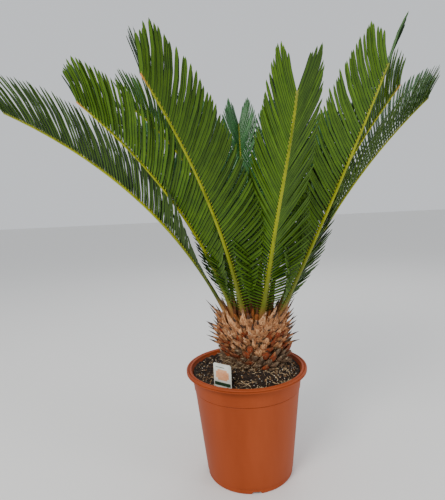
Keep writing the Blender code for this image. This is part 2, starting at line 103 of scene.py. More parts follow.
bpy.ops.mesh.primitive_plane_add(size=FLOOR_SIZE)
floor = bpy.context.object
floor.name = "floor"
floor_paint = bpy.data.materials.new("floor_paint")
floor_paint.use_nodes = True
floor_shader = floor_paint.node_tree.nodes["Principled BSDF"]
floor_shader.inputs["Base Color"].default_value = (*FLOOR_COLOUR, 1.0)
floor_shader.inputs["Roughness"].default_value = 0.8
floor.data.materials.append(floor_paint)
world = bpy.data.worlds.new("soft_daylight")
world.use_nodes = True
sky = world.node_tree.nodes["Background"]
sky.inputs["Color"].default_value = (*SKY_COLOUR, 1.0)
sky.inputs["Strength"].default_value = SKY_STRENGTH
bpy.context.scene.world = world
for light_name, light_place, light_size, light_power, light_colour in LIGHTS:
    light_data = bpy.data.lights.new(light_name, "AREA")
    light_data.shape = "SQUARE"
    light_data.size = light_size
    light_data.energy = light_power
    light_data.color = light_colour
    light = bpy.data.objects.new(light_name, light_data)
    bpy.context.scene.collection.objects.link(light)
    light.location = light_place
    light.rotation_euler = (LIGHT_AIM - Vector(light_place)).to_track_quat("-Z", "Y").to_euler()

# Pot. A round nursery pot, moulded in terracotta-coloured plastic: a thin wall, a rolled double rim
# with a groove round its outer face, a band under the rim that stands a little proud, and a foot with
# four drain slots. The wall is one turned profile, and the slots are cut through its foot.
pot_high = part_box("pot")[1]
POT_HEIGHT = pot_high.z
RIM_RADIUS = pot_high.x
MOUTH_RADIUS = 0.105
TOP_RADIUS = 0.1035
FOOT_RADIUS = 0.0835
POT_WALL = 0.0016
POT_FLOOR = 0.003
RIM_LIP = 0.006
RIM_GROOVE = 0.0024
INNER_ROLL = 0.0026
OUTER_ROLL = 0.0019
BAND_HEIGHT = 0.036
BAND_STEP = 0.0012
FOOT_HEIGHT = 0.0095
FOOT_STEP = 0.0014
POT_SIDES = 160
DRAIN_COUNT = 4
DRAIN_SIZE = Vector((0.024, 0.018, 0.008))
DRAIN_EDGE = 0.0018
FIRST_DRAIN = math.radians(-86)


def srgb(red, green, blue):
    """A colour as the eye reads it, 0 to 255, turned into the linear values that a shader takes."""
    shares = [value / 255 for value in (red, green, blue)]
    return tuple(share / 12.92 if share <= 0.04045 else ((share + 0.055) / 1.055) ** 2.4 for share in shares)


def mottled_finish(
    name, colours, patch_scale, roughness, relief, relief_scale, specular=0.5, stretch=(1.0, 1.0, 1.0)
):
    """A finish that drifts between the given colours in patches, with uneven gloss and a fine relief."""
    material = bpy.data.materials.new(name)
    material.use_nodes = True
    nodes = material.node_tree.nodes
    links = material.node_tree.links
    shader = nodes["Principled BSDF"]
    shader.inputs["Specular IOR Level"].default_value = specular
    place = nodes.new("ShaderNodeTexCoord")
    stretched = nodes.new("ShaderNodeMapping")
    stretched.inputs["Scale"].default_value = stretch
    links.new(place.outputs["Object"], stretched.inputs["Vector"])
    patches = nodes.new("ShaderNodeTexNoise")
    patches.inputs["Scale"].default_value = patch_scale
    patches.inputs["Detail"].default_value = 5.0
    patches.inputs["Roughness"].default_value = 0.6
    links.new(stretched.outputs["Vector"], patches.inputs["Vector"])
    ramp = nodes.new("ShaderNodeValToRGB")
    for i in range(len(colours) - 2):
        ramp.color_ramp.elements.new(0.5)
    for i, colour in enumerate(colours):
        ramp.color_ramp.elements[i].position = 0.32 + 0.36 * i / (len(colours) - 1)
        ramp.color_ramp.elements[i].color = (*srgb(*colour), 1.0)
    links.new(patches.outputs["Fac"], ramp.inputs["Fac"])
    links.new(ramp.outputs["Color"], shader.inputs["Base Color"])
    gloss = nodes.new("ShaderNodeMapRange")
    gloss.inputs["To Min"].default_value = roughness * 0.85
    gloss.inputs["To Max"].default_value = min(1.0, roughness * 1.15)
    links.new(patches.outputs["Fac"], gloss.inputs["Value"])
    links.new(gloss.outputs["Result"], shader.inputs["Roughness"])
    fine = nodes.new("ShaderNodeTexNoise")
    fine.inputs["Scale"].default_value = relief_scale
    fine.inputs["Detail"].default_value = 3.0
    links.new(place.outputs["Object"], fine.inputs["Vector"])
    bump = nodes.new("ShaderNodeBump")
    bump.inputs["Strength"].default_value = 0.6
    bump.inputs["Distance"].default_value = relief
    links.new(fine.outputs["Fac"], bump.inputs["Height"])
    links.new(bump.outputs["Normal"], shader.inputs["Normal"])
    return material


def mesh_from(name, builder, smooth=True):
    """The bmesh as a plain mesh with its faces pointing out."""
    bmesh.ops.recalc_face_normals(builder, faces=builder.faces[:])
    mesh = bpy.data.meshes.new(name)
    builder.to_mesh(mesh)
    builder.free()
    mesh.polygons.foreach_set("use_smooth", [smooth] * len(mesh.polygons))
    return mesh


def skin_rings(builder, rings):
    """Joins rings of points into one closed skin, with a cap at each end."""
    loops = [[builder.verts.new(point) for point in ring] for ring in rings]
    for lower, upper in zip(loops, loops[1:]):
        for i in range(len(lower)):
            j = (i + 1) % len(lower)
            builder.faces.new((lower[i], lower[j], upper[j], upper[i]))
    builder.faces.new(loops[0][::-1])
    builder.faces.new(loops[-1])


def piece_from(name, builder, material, smooth=True):
    """A piece at the origin whose mesh is the given bmesh."""
    mesh = mesh_from(name, builder, smooth)
    mesh.materials.append(material)
    obj = bpy.data.objects.new(name, mesh)
    bpy.context.scene.collection.objects.link(obj)
    return obj


def plain_mesh(obj):
    """Puts the evaluated mesh in place of the object's own, and clears its modifiers."""
    graph = bpy.context.evaluated_depsgraph_get()
    mesh = bpy.data.meshes.new_from_object(obj.evaluated_get(graph))
    obj.modifiers.clear()
    obj.data = mesh


def turned_ring(radius, height, sides, centre_x=0.0):
    """A level ring of points round an upright axis."""
    angles = [math.tau * i / sides for i in range(sides)]
    return [Vector((centre_x + radius * math.cos(a), radius * math.sin(a), height)) for a in angles]


def arc(centre_radius, centre_height, size, first, last, steps):
    """Points of a round edge in a turned profile, from one angle to another in degrees."""
    angles = [math.radians(first + (last - first) * i / steps) for i in range(steps + 1)]
    return [(centre_radius + size * math.cos(a), centre_height + size * math.sin(a)) for a in angles]


def pot_wall_radius(height):
    """The outer radius of the plain wall at a height above the underside."""
    share = (height - FOOT_HEIGHT) / (POT_HEIGHT - RIM_LIP - FOOT_HEIGHT)
    return FOOT_RADIUS + (TOP_RADIUS - FOOT_RADIUS) * share


under_rim = POT_HEIGHT - RIM_LIP
band_foot = POT_HEIGHT - BAND_HEIGHT
step_round = BAND_STEP / 2
pot_profile = [
    # the inside, from the floor to the mouth
    (pot_wall_radius(POT_FLOOR) - POT_WALL - 0.004, POT_FLOOR),
    *arc(pot_wall_radius(POT_FLOOR) - POT_WALL - 0.003, POT_FLOOR + 0.003, 0.003, -60, 0, 3),
    (pot_wall_radius(band_foot) - POT_WALL, band_foot),
    (TOP_RADIUS - POT_WALL, under_rim - 0.004), (TOP_RADIUS - 0.0008, under_rim),
    (MOUTH_RADIUS - 0.0002, under_rim + 0.002),
    # the rolled rim, over the top and down its outer face
    *arc(MOUTH_RADIUS + INNER_ROLL, POT_HEIGHT - INNER_ROLL, INNER_ROLL, 180, 62, 7),
    ((MOUTH_RADIUS + RIM_RADIUS) / 2 + 0.0004, POT_HEIGHT - RIM_GROOVE),
    *arc(RIM_RADIUS - OUTER_ROLL, POT_HEIGHT - OUTER_ROLL, OUTER_ROLL, 122, 0, 8),
    (RIM_RADIUS, POT_HEIGHT - 0.0024), (RIM_RADIUS - 0.0018, POT_HEIGHT - 0.0032),
    (RIM_RADIUS - 0.0002, POT_HEIGHT - 0.0040), (RIM_RADIUS, under_rim + 0.0008),
    *arc(RIM_RADIUS - 0.0008, under_rim + 0.0008, 0.0008, -15, -90, 3),
    (RIM_RADIUS - 0.002, under_rim + 0.0002), (RIM_RADIUS - 0.0022, under_rim + 0.003),
    (TOP_RADIUS + 0.0026, under_rim + 0.003), (TOP_RADIUS + 0.0015, under_rim + 0.0012),
    # the band, and the line under it
    (pot_wall_radius(under_rim) + BAND_STEP, under_rim - 0.003),
    (pot_wall_radius(band_foot + step_round) + BAND_STEP, band_foot + step_round),
    *arc(pot_wall_radius(band_foot) + BAND_STEP / 2, band_foot, BAND_STEP / 2, -15, -90, 3),
    (pot_wall_radius(band_foot) - 0.0014, band_foot - 0.0009),
    (pot_wall_radius(band_foot) - 0.0001, band_foot - 0.0026),
    # the wall down to the foot, and the foot
    *[(pot_wall_radius(height / 100), height / 100) for height in (15, 12.5, 10, 7.5, 5, 2.5)],
    (pot_wall_radius(FOOT_HEIGHT + 0.0012), FOOT_HEIGHT + 0.0012),
    (pot_wall_radius(FOOT_HEIGHT) - 0.0010, FOOT_HEIGHT + 0.0004),
    (FOOT_RADIUS - 1.2 * FOOT_STEP, FOOT_HEIGHT - 0.0002),
    (FOOT_RADIUS - 1.3 * FOOT_STEP, FOOT_HEIGHT - FOOT_STEP),
    *arc(FOOT_RADIUS - FOOT_STEP - 0.0015, 0.0015, 0.0015, 0, -90, 4),
]

pot_plastic = mottled_finish(
    "pot_plastic",
    ((140, 60, 26), (151, 67, 31), (159, 74, 38)),
    patch_scale=9.0, stretch=(1.0, 1.0, 0.16), roughness=0.48,
    relief=0.00008, relief_scale=260.0, specular=0.12,
)
pot_builder = bmesh.new()
skin_rings(pot_builder, [turned_ring(radius, height, POT_SIDES) for radius, height in pot_profile])
pot = piece_from("pot_shell", pot_builder, pot_plastic)
for i in range(DRAIN_COUNT):
    drain_angle = FIRST_DRAIN + i * math.tau / DRAIN_COUNT
    drain_builder = bmesh.new()
    bmesh.ops.create_cube(drain_builder, size=1.0)
    bmesh.ops.scale(drain_builder, vec=DRAIN_SIZE, verts=drain_builder.verts[:])
    along_slot = [e for e in drain_builder.edges if abs(e.verts[0].co.x - e.verts[1].co.x) > 0.001]
    bmesh.ops.bevel(drain_builder, geom=along_slot, offset=DRAIN_EDGE, segments=4, affect="EDGES")
    drain = piece_from(f"drain_former_{i + 1}", drain_builder, pot_plastic)
    middle = Vector((FOOT_RADIUS * math.cos(drain_angle), FOOT_RADIUS * math.sin(drain_angle), 0.0))
    drain.data.transform(Matrix.Translation(middle) @ Matrix.Rotation(drain_angle, 4, "Z"))
    cut = pot.modifiers.new("drain", "BOOLEAN")
    cut.operation = "DIFFERENCE"
    cut.solver = "EXACT"
    cut.object = drain
    plain_mesh(pot)
    bpy.data.objects.remove(drain, do_unlink=True)
pot.data.set_sharp_from_angle(angle=math.radians(40))
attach(pot, "root")
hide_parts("pot")

# Compost. Dark bark-and-peat compost, poured in round the roots. It fills the pot to just under the rim,
# rises in a low mound round the trunk and a little at the wall, and its top is lumpy.
SURFACE_HEIGHT = POT_HEIGHT - 0.010
MOUND_RISE = 0.021
MOUND_TOP = 0.064
MOUND_EDGE = 0.083
TRUNK_X = 0.016
COMPOST_SECTORS = 180
COMPOST_RINGS = 56
LUMP_HEIGHT = 0.0030
EDGE_RISE = 0.005
EDGE_RISE_FROM = 0.086
EDGE_RISE_WIDTH = 0.014
LUMP_GRAIN = 95.0
LUMP_MIDDLE = 0.35
COMPOST_CLEARANCE = 0.0004


def compost_height(x, y):
    """The surface: lumpy, with a low mound round the trunk and a small rise at the wall."""
    reach = math.hypot(x - TRUNK_X, y)
    share = min(1.0, max(0.0, (reach - MOUND_TOP) / (MOUND_EDGE - MOUND_TOP)))
    mound = MOUND_RISE * (0.5 + 0.5 * math.cos(math.pi * share))
    lumps = noise.fractal(Vector((x, y, 0.0)) * LUMP_GRAIN, 0.7, 2.2, 4)
    edge = min(1.0, max(0.0, (math.hypot(x, y) - EDGE_RISE_FROM) / EDGE_RISE_WIDTH))
    return SURFACE_HEIGHT + mound + EDGE_RISE * edge * edge + LUMP_HEIGHT * (lumps - LUMP_MIDDLE)


compost_dark = mottled_finish(
    "compost_dark",
    ((16, 12, 10), (34, 25, 20), (58, 44, 33), (30, 22, 17)),
    patch_scale=170.0, roughness=0.92, relief=0.0012, relief_scale=900.0, specular=0.25,
)
surface_radius = pot_wall_radius(SURFACE_HEIGHT) - POT_WALL - 0.0003
compost_builder = bmesh.new()
compost_rings = []
for i in range(1, COMPOST_RINGS + 1):
    ring = turned_ring(surface_radius * i / COMPOST_RINGS, 0.0, COMPOST_SECTORS)
    compost_rings.append([Vector((p.x, p.y, compost_height(p.x, p.y))) for p in ring])
for height in (SURFACE_HEIGHT - 0.008, band_foot, POT_FLOOR + 0.004, POT_FLOOR + COMPOST_CLEARANCE):
    wall_radius = pot_wall_radius(height) - POT_WALL - COMPOST_CLEARANCE
    inset = 0.004 if height < POT_FLOOR + 0.001 else 0.0
    compost_rings.append(turned_ring(wall_radius - inset, height, COMPOST_SECTORS))
skin_rings(compost_builder, compost_rings)
compost = piece_from("compost_body", compost_builder, compost_dark)
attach(compost, "root")
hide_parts("soil")

# Loose stuff on the compost. Dark crumbs, chips of bark, short straw and pale grit, as it falls when the
# pot is filled. A Geometry Nodes tree spreads each kind over the surface and sinks it in part way.


def node_tree(name, inputs):
    """A new Geometry Nodes tree with a geometry input and output, and named inputs for its sizes."""
    tree = bpy.data.node_groups.new(name, "GeometryNodeTree")
    tree.interface.new_socket("Geometry", in_out="INPUT", socket_type="NodeSocketGeometry")
    tree.interface.new_socket("Geometry", in_out="OUTPUT", socket_type="NodeSocketGeometry")
    for title, kind in inputs:
        tree.interface.new_socket(title, in_out="INPUT", socket_type=kind)
    return tree, tree.nodes.new("NodeGroupInput"), tree.nodes.new("NodeGroupOutput")


def wire(tree, rows):
    """Joins nodes. Each row is a node, its output's name, the next node and its input's name."""
    for source, output, target, entry in rows:
        tree.links.new(source.outputs[output], target.inputs[entry])


def run_tree(obj, tree, values):
    """Runs the tree on the object's mesh with these inputs, and keeps the result as a plain mesh."""
    modifier = obj.modifiers.new(tree.name, "NODES")
    modifier.node_group = tree
    for item in tree.interface.items_tree:
        if item.in_out == "INPUT" and item.name in values:
            modifier[item.identifier] = values[item.name]
    plain_mesh(obj)


def shape_collection(name, shapes):
    """The small shapes that a tree picks from, in the order of the list. Nothing shows them."""
    collection = bpy.data.collections.new(name)
    for i, mesh in enumerate(shapes):
        collection.objects.link(bpy.data.objects.new(f"{name}_{i:02d}", mesh))
    return collection


def drop_collection(collection):
    """Takes the small shapes away once every piece made of them is a plain mesh."""
    for obj in list(collection.objects):
        bpy.data.objects.remove(obj, do_unlink=True)
    bpy.data.collections.remove(collection)


def crumb_shape(name, flatness, seed):
    """A rough crumb about 1 across: a coarse ball with its corners pushed in and out."""
    builder = bmesh.new()
    bmesh.ops.create_icosphere(builder, subdivisions=1, radius=0.5)
    chance = random.Random(seed)
    for vertex in builder.verts:
        vertex.co *= chance.uniform(0.62, 1.12)
        vertex.co.y *= 1.0 + 0.5 * (1.0 - flatness)
        vertex.co.z *= flatness
    return mesh_from(name, builder, smooth=False)


def outward_at(angle):
    """The level way out from an upright axis, at an angle round it."""
    return Vector((math.cos(angle), math.sin(angle), 0.0))


scatter, scatter_in, scatter_out = node_tree(
    "Crumbs on the compost",
    (
        ("Crumbs per square metre", "NodeSocketFloat"),
        ("Smallest", "NodeSocketFloat"),
        ("Largest", "NodeSocketFloat"),
        ("Tilt", "NodeSocketFloat"),
        ("Seed", "NodeSocketInt"),
        ("Shapes", "NodeSocketCollection"),
        ("Finish", "NodeSocketMaterial"),
    ),
)
spread = scatter.nodes.new("GeometryNodeDistributePointsOnFaces")
picked = scatter.nodes.new("GeometryNodeCollectionInfo")
picked.inputs["Separate Children"].default_value = True
picked.inputs["Reset Children"].default_value = True
turn_by = scatter.nodes.new("FunctionNodeRandomValue")
turn_by.data_type = "FLOAT_VECTOR"
turn_range = scatter.nodes.new("ShaderNodeCombineXYZ")
turn_range.inputs["Z"].default_value = math.tau
size_by = scatter.nodes.new("FunctionNodeRandomValue")
crumbs = scatter.nodes.new("GeometryNodeInstanceOnPoints")
crumbs.inputs["Pick Instance"].default_value = True
loose = scatter.nodes.new("GeometryNodeRealizeInstances")
painted = scatter.nodes.new("GeometryNodeSetMaterial")
scatter_rows = (
    (scatter_in, "Geometry", spread, "Mesh"),
    (scatter_in, "Crumbs per square metre", spread, "Density"),
    (scatter_in, "Seed", spread, "Seed"),
    (scatter_in, "Shapes", picked, "Collection"),
    (scatter_in, "Tilt", turn_range, "X"),
    (scatter_in, "Tilt", turn_range, "Y"),
    (turn_range, "Vector", turn_by, "Max"),
    (scatter_in, "Seed", turn_by, "Seed"),
    (scatter_in, "Smallest", size_by, 2),
    (scatter_in, "Largest", size_by, 3),
    (scatter_in, "Seed", size_by, "Seed"),
    (spread, "Points", crumbs, "Points"),
    (picked, "Instances", crumbs, "Instance"),
    (turn_by, "Value", crumbs, "Rotation"),
    (size_by, 1, crumbs, "Scale"),
    (crumbs, "Instances", loose, "Geometry"),
    (loose, "Geometry", painted, "Geometry"),
    (scatter_in, "Finish", painted, "Material"),
    (painted, "Geometry", scatter_out, "Geometry"),
)
wire(scatter, scatter_rows)

CRUMB_KINDS = (
    # name, how many a square metre, smallest, largest, tilt, seed, flatness, colours
    ("compost_crumbs", 62000.0, 0.0018, 0.0055, 3.1, 3, 0.75, ((22, 16, 13), (52, 38, 28))),
    ("compost_chips", 17000.0, 0.0020, 0.0064, 1.2, 5, 0.32, ((84, 58, 36), (142, 108, 72))),
    ("compost_straw", 15000.0, 0.0014, 0.0040, 1.2, 7, 0.36, ((160, 130, 92), (212, 188, 148))),
    ("compost_grit", 15000.0, 0.0010, 0.0026, 3.1, 9, 0.85, ((196, 188, 172), (236, 230, 216))),
)
BED_ROWS = 12
BED_SECTORS = 96
BED_INNER_RADIUS = 0.052
BED_TO_WALL = 0.0035
for kind, density, smallest, largest, tilt, seed, flatness, tones in CRUMB_KINDS:
    bed_builder = bmesh.new()
    bed_rows = []
    for i in range(BED_ROWS):
        share = 0.04 + 0.96 * i / (BED_ROWS - 1)
        row = []
        for j in range(BED_SECTORS):
            outward = outward_at(math.tau * j / BED_SECTORS)
            inner = Vector((TRUNK_X, 0.0, 0.0)) + outward * BED_INNER_RADIUS
            spot = inner.lerp(outward * (surface_radius - BED_TO_WALL), share)
            row.append(bed_builder.verts.new((spot.x, spot.y, compost_height(spot.x, spot.y))))
        bed_rows.append(row)
    for inner_row, outer_row in zip(bed_rows, bed_rows[1:]):
        for j in range(BED_SECTORS):
            k = (j + 1) % BED_SECTORS
            bed_builder.faces.new((inner_row[j], outer_row[j], outer_row[k], inner_row[k]))
    finish = mottled_finish(kind, tones, 300.0, 0.85, 0.0004, 1400.0, specular=0.3)
    bed = piece_from(kind, bed_builder, finish, smooth=False)
    shapes = shape_collection(kind, [crumb_shape(f"{kind}_{i}", flatness, seed * 10 + i) for i in range(4)])
    sizes = {"Crumbs per square metre": density, "Smallest": smallest, "Largest": largest, "Tilt": tilt}
    run_tree(bed, scatter, {**sizes, "Seed": seed, "Shapes": shapes, "Finish": finish})
    drop_collection(shapes)
    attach(bed, "root")

# Surface roots. Fine pale roots that lie across the compost, mostly at the near side of the trunk. Each
# is one thin strand that wanders over the lumps.
ROOT_STRANDS = 46
ROOT_STEP = 0.0022
UP = Vector((0.0, 0.0, 1.0))
root_pale = mottled_finish(
    "root_pale",
    ((140, 112, 78), (196, 168, 126), (222, 200, 164)),
    patch_scale=240.0, roughness=0.8, relief=0.0002, relief_scale=1500.0, specular=0.3,
)


def strand_rings(points, radius, sides):
    """The rings of a thin strand along a path, thinner at both ends."""
    rings = []
    last = len(points) - 1
    for i, point in enumerate(points):
        forward = (points[min(last, i + 1)] - points[max(0, i - 1)]).normalized()
        across = forward.cross(UP).normalized()
        above = across.cross(forward)
        here = radius * (0.35 + 0.65 * math.sin(math.pi * (i + 0.5) / (last + 1)))
        angles = [math.tau * k / sides for k in range(sides)]
        rings.append([point + (across * math.cos(a) + above * math.sin(a)) * here for a in angles])
    return rings


root_builder = bmesh.new()
chance = random.Random(31)
for i in range(ROOT_STRANDS):
    around = math.radians(chance.gauss(-52, 40))
    away = chance.uniform(0.060, 0.088)
    spot = Vector((TRUNK_X, 0.0, 0.0)) + outward_at(around) * away
    heading = around + chance.choice((-1, 1)) * chance.uniform(0.9, 1.9)
    points = []
    for j in range(chance.randrange(9, 22)):
        if spot.length > surface_radius - 0.003:
            break
        lift = 0.0006 + 0.0009 * math.sin(0.9 * j + i)
        points.append(Vector((spot.x, spot.y, compost_height(spot.x, spot.y) + lift)))
        heading += chance.uniform(-0.42, 0.42)
        spot = spot + outward_at(heading) * ROOT_STEP
    if len(points) > 4:
        skin_rings(root_builder, strand_rings(points, chance.uniform(0.00035, 0.00065), 6))
roots = piece_from("surface_roots", root_builder, root_pale)
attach(roots, "root")

# Plant label. A stiff white plastic card pushed upright into the compost by the front of the pot, with
# a soft peach block, a dark green strip and a thin green line printed on its face.
label_low, label_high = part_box("plant_label")
LABEL_WIDTH = 0.0345
LABEL_HEIGHT = 0.066
LABEL_THICKNESS = 0.0012
LABEL_LEAN = math.radians(5)
LABEL_TURN = math.radians(-30)
LABEL_TILT = math.radians(3)
LABEL_CORNER = 0.0016
PRINT_THICKNESS = 0.00012


def card_builder(size, corner):
    """A thin upright card with rounded corners, its middle at the origin."""
    builder = bmesh.new()
    bmesh.ops.create_cube(builder, size=1.0)
    bmesh.ops.scale(builder, vec=size, verts=builder.verts[:])
    upright = [e for e in builder.edges if abs(e.verts[0].co.y - e.verts[1].co.y) > 1e-5]
    bmesh.ops.bevel(builder, geom=upright, offset=corner, segments=5, affect="EDGES")
    return builder


card_white = mottled_finish(
    "card_white",
    ((196, 200, 188), (216, 219, 208), (226, 228, 218)),
    patch_scale=60.0, roughness=0.42, relief=0.00004, relief_scale=700.0,
)
print_peach = mottled_finish(
    "print_peach",
    ((206, 132, 88), (222, 156, 112), (230, 176, 134)),
    patch_scale=120.0, roughness=0.4, relief=0.00003, relief_scale=700.0,
)
print_green = mottled_finish(
    "print_green",
    ((30, 52, 34), (44, 70, 46)),
    patch_scale=120.0, roughness=0.4, relief=0.00003, relief_scale=700.0,
)
card_lean = Matrix.Rotation(LABEL_LEAN, 4, "X") @ Matrix.Rotation(LABEL_TILT, 4, "Y")
label_middle = (label_low + label_high) / 2
card_place = Matrix.Translation(label_middle) @ Matrix.Rotation(LABEL_TURN, 4, "Z") @ card_lean
card_size = Vector((LABEL_WIDTH, LABEL_THICKNESS, LABEL_HEIGHT))
card = piece_from("label_card", card_builder(card_size, LABEL_CORNER), card_white)
card.data.transform(card_place)
card.data.set_sharp_from_angle(angle=math.radians(40))
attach(card, "root")
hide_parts("plant_label")
LABEL_PRINTS = (
    # name, ink, width and height as shares of the card's, corner, shift sideways and up as shares
    ("label_peach_block", print_peach, 0.74, 0.30, 0.0036, 0.0, 0.19),
    ("label_green_strip", print_green, 0.92, 0.10, 0.0006, 0.0, -0.07),
    ("label_green_line", print_green, 0.50, 0.016, 0.0003, -0.12, 0.40),
)
for print_name, ink, width_share, height_share, corner, sideways_share, up_share in LABEL_PRINTS:
    size = Vector((LABEL_WIDTH * width_share, PRINT_THICKNESS, LABEL_HEIGHT * height_share))
    patch = piece_from(print_name, card_builder(size, corner), ink)
    face = -(LABEL_THICKNESS + PRINT_THICKNESS * 0.6) / 2
    shift = Matrix.Translation((LABEL_WIDTH * sideways_share, face, LABEL_HEIGHT * up_share))
    patch.data.transform(card_place @ shift)
    patch.data.set_sharp_from_angle(angle=math.radians(40))
    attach(patch, "root")

# Trunk. The squat barrel of wood that carries the stubs of the old fronds. It shows only in the gaps
# between them. Its bark is rough, and its dark brown is bark colour with painted shade for the shadow in
# those gaps.
TRUNK_FOOT_Z = 0.2095
TRUNK_TOP_Z = 0.2977
TRUNK_RADIUS = 0.060
TRUNK_FOOT_RADIUS = 0.055
GOLDEN_ANGLE = math.radians(137.508)
BARREL_SECTORS = 144
BARREL_RINGS = 46
BARK_DEPTH = 0.0022
BARK_SUNK = 0.0015
TRUNK_TOP_CROWN = 0.004


def trunk_radius(share):
    """The barrel's radius at a share of its height, from foot to top."""
    swell = math.sin(math.pi * min(1.0, 0.12 + 0.80 * share))
    return TRUNK_FOOT_RADIUS + (TRUNK_RADIUS - TRUNK_FOOT_RADIUS) * swell


# Bark colour with painted shade: its darkest patches stand in for the shadow down between the stubs.
bark_dark = mottled_finish(
    "bark_dark",
    ((28, 18, 12), (62, 38, 22), (98, 62, 36), (44, 28, 18)),
    patch_scale=130.0, stretch=(1.0, 1.0, 0.45), roughness=0.9,
    relief=0.0015, relief_scale=620.0, specular=0.25,
)
barrel_rings = []
for i in range(BARREL_RINGS + 1):
    share = i / BARREL_RINGS
    height = TRUNK_FOOT_Z + (TRUNK_TOP_Z - TRUNK_FOOT_Z) * share
    ring = []
    for point in turned_ring(trunk_radius(share), height, BARREL_SECTORS, TRUNK_X):
        outward = Vector((point.x - TRUNK_X, point.y, 0.0)).normalized()
        bark = noise.fractal(Vector((point.x * 150, point.y * 150, point.z * 60)), 0.8, 2.0, 4)
        ring.append(point + outward * (BARK_DEPTH * bark - BARK_SUNK))
    barrel_rings.append(ring)
for share in (0.80, 0.55, 0.25, 0.05):
    height = TRUNK_TOP_Z + TRUNK_TOP_CROWN * (1 - share)
    barrel_rings.append(turned_ring(trunk_radius(1.0) * share, height, BARREL_SECTORS, TRUNK_X))
barrel_builder = bmesh.new()
skin_rings(barrel_builder, barrel_rings)
barrel = piece_from("trunk_barrel", barrel_builder, bark_dark)
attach(barrel, "root")
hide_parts("trunk")

# Leaf-base stubs. What is left of each old frond, in one long spiral up the trunk: grey and fibrous at
# the foot, rusty above, papery and straw-coloured at the top, each torn or broken at its worn end. A
# Geometry Nodes tree plants the shapes on points that hold each one's turn, size and kind.
STUB_COUNT = 210
STUB_WIDTH = 0.0165
STUB_THICKNESS = 0.0085
STUB_SUNK = 0.006
TOP_STUBS_INSET = 0.006
FOOT_BULGE = 0.006
FOOT_BULGE_WAY = math.radians(-25)
FOOT_BULGE_TO = 0.45
planted, planted_in, planted_out = node_tree(
    "Shapes planted on points",
    (
        ("Shapes", "NodeSocketCollection"),
        ("Finish", "NodeSocketMaterial"),
        ("Second finish", "NodeSocketMaterial"),
        ("Third finish", "NodeSocketMaterial"),
    ),
)
choice = planted.nodes.new("GeometryNodeCollectionInfo")
choice.inputs["Separate Children"].default_value = True
choice.inputs["Reset Children"].default_value = True
stored = {}
for stored_name, stored_type in (
    ("shape", "INT"),
    ("turn", "QUATERNION"),
    ("size", "FLOAT_VECTOR"),
    ("second", "BOOLEAN"),
    ("third", "BOOLEAN"),
):
    stored[stored_name] = planted.nodes.new("GeometryNodeInputNamedAttribute")
    stored[stored_name].data_type = stored_type
    stored[stored_name].inputs["Name"].default_value = stored_name
grown = planted.nodes.new("GeometryNodeInstanceOnPoints")
grown.inputs["Pick Instance"].default_value = True
joined = planted.nodes.new("GeometryNodeRealizeInstances")
first_coat = planted.nodes.new("GeometryNodeSetMaterial")
second_coat = planted.nodes.new("GeometryNodeSetMaterial")
third_coat = planted.nodes.new("GeometryNodeSetMaterial")
planted_rows = (
    (planted_in, "Geometry", grown, "Points"),
    (planted_in, "Shapes", choice, "Collection"),
    (choice, "Instances", grown, "Instance"),
    (stored["shape"], "Attribute", grown, "Instance Index"),
    (stored["turn"], "Attribute", grown, "Rotation"),
    (stored["size"], "Attribute", grown, "Scale"),
    (grown, "Instances", joined, "Geometry"),
    (joined, "Geometry", first_coat, "Geometry"),
    (planted_in, "Finish", first_coat, "Material"),
    (first_coat, "Geometry", second_coat, "Geometry"),
    (stored["second"], "Attribute", second_coat, "Selection"),
    (planted_in, "Second finish", second_coat, "Material"),
    (second_coat, "Geometry", third_coat, "Geometry"),
    (stored["third"], "Attribute", third_coat, "Selection"),
    (planted_in, "Third finish", third_coat, "Material"),
    (third_coat, "Geometry", planted_out, "Geometry"),
)
wire(planted, planted_rows)


def plant_shapes(name, places, shapes, finish, second_finish, third_finish=None):
    """One piece of many shapes. Each place is a point, a turn, a size in three directions and a shape."""
    mesh = bpy.data.meshes.new(name)
    mesh.from_pydata([place[0] for place in places], [], [])
    turns = mesh.attributes.new("turn", "QUATERNION", "POINT")
    turns.data.foreach_set("value", [value for place in places for value in place[1].to_quaternion()])
    sizes = mesh.attributes.new("size", "FLOAT_VECTOR", "POINT")
    sizes.data.foreach_set("vector", [value for place in places for value in place[2]])
    picks = mesh.attributes.new("shape", "INT", "POINT")
    picks.data.foreach_set("value", [place[3] for place in places])
    tones = mesh.attributes.new("tone", "FLOAT", "POINT")
    tone_chance = random.Random(len(places))
    tones.data.foreach_set("value", [tone_chance.random() for place in places])
    obj = bpy.data.objects.new(name, mesh)
    bpy.context.scene.collection.objects.link(obj)
    finishes = {"Finish": finish, "Second finish": second_finish, "Third finish": third_finish or finish}
    run_tree(obj, planted, {"Shapes": shapes, **finishes})
    return obj


def turn_to(across, along):
    """The turn that takes a shape's X and Y to these two directions, and its Z to their upper side."""
    return Matrix((across, along, across.cross(along))).transposed()


def mark_faces(mesh, mark, values):
    """Marks the faces that take the second or the third finish."""
    mesh.attributes.new(mark, "BOOLEAN", "FACE").data.foreach_set("value", values)


def trunk_spot(level, outward, sunk):
    """A point at a share of the trunk's height, sunk a little below its surface."""
    height = TRUNK_FOOT_Z + (TRUNK_TOP_Z - TRUNK_FOOT_Z) * level
    return Vector((TRUNK_X, 0.0, height)) + outward * (trunk_radius(level) - sunk)


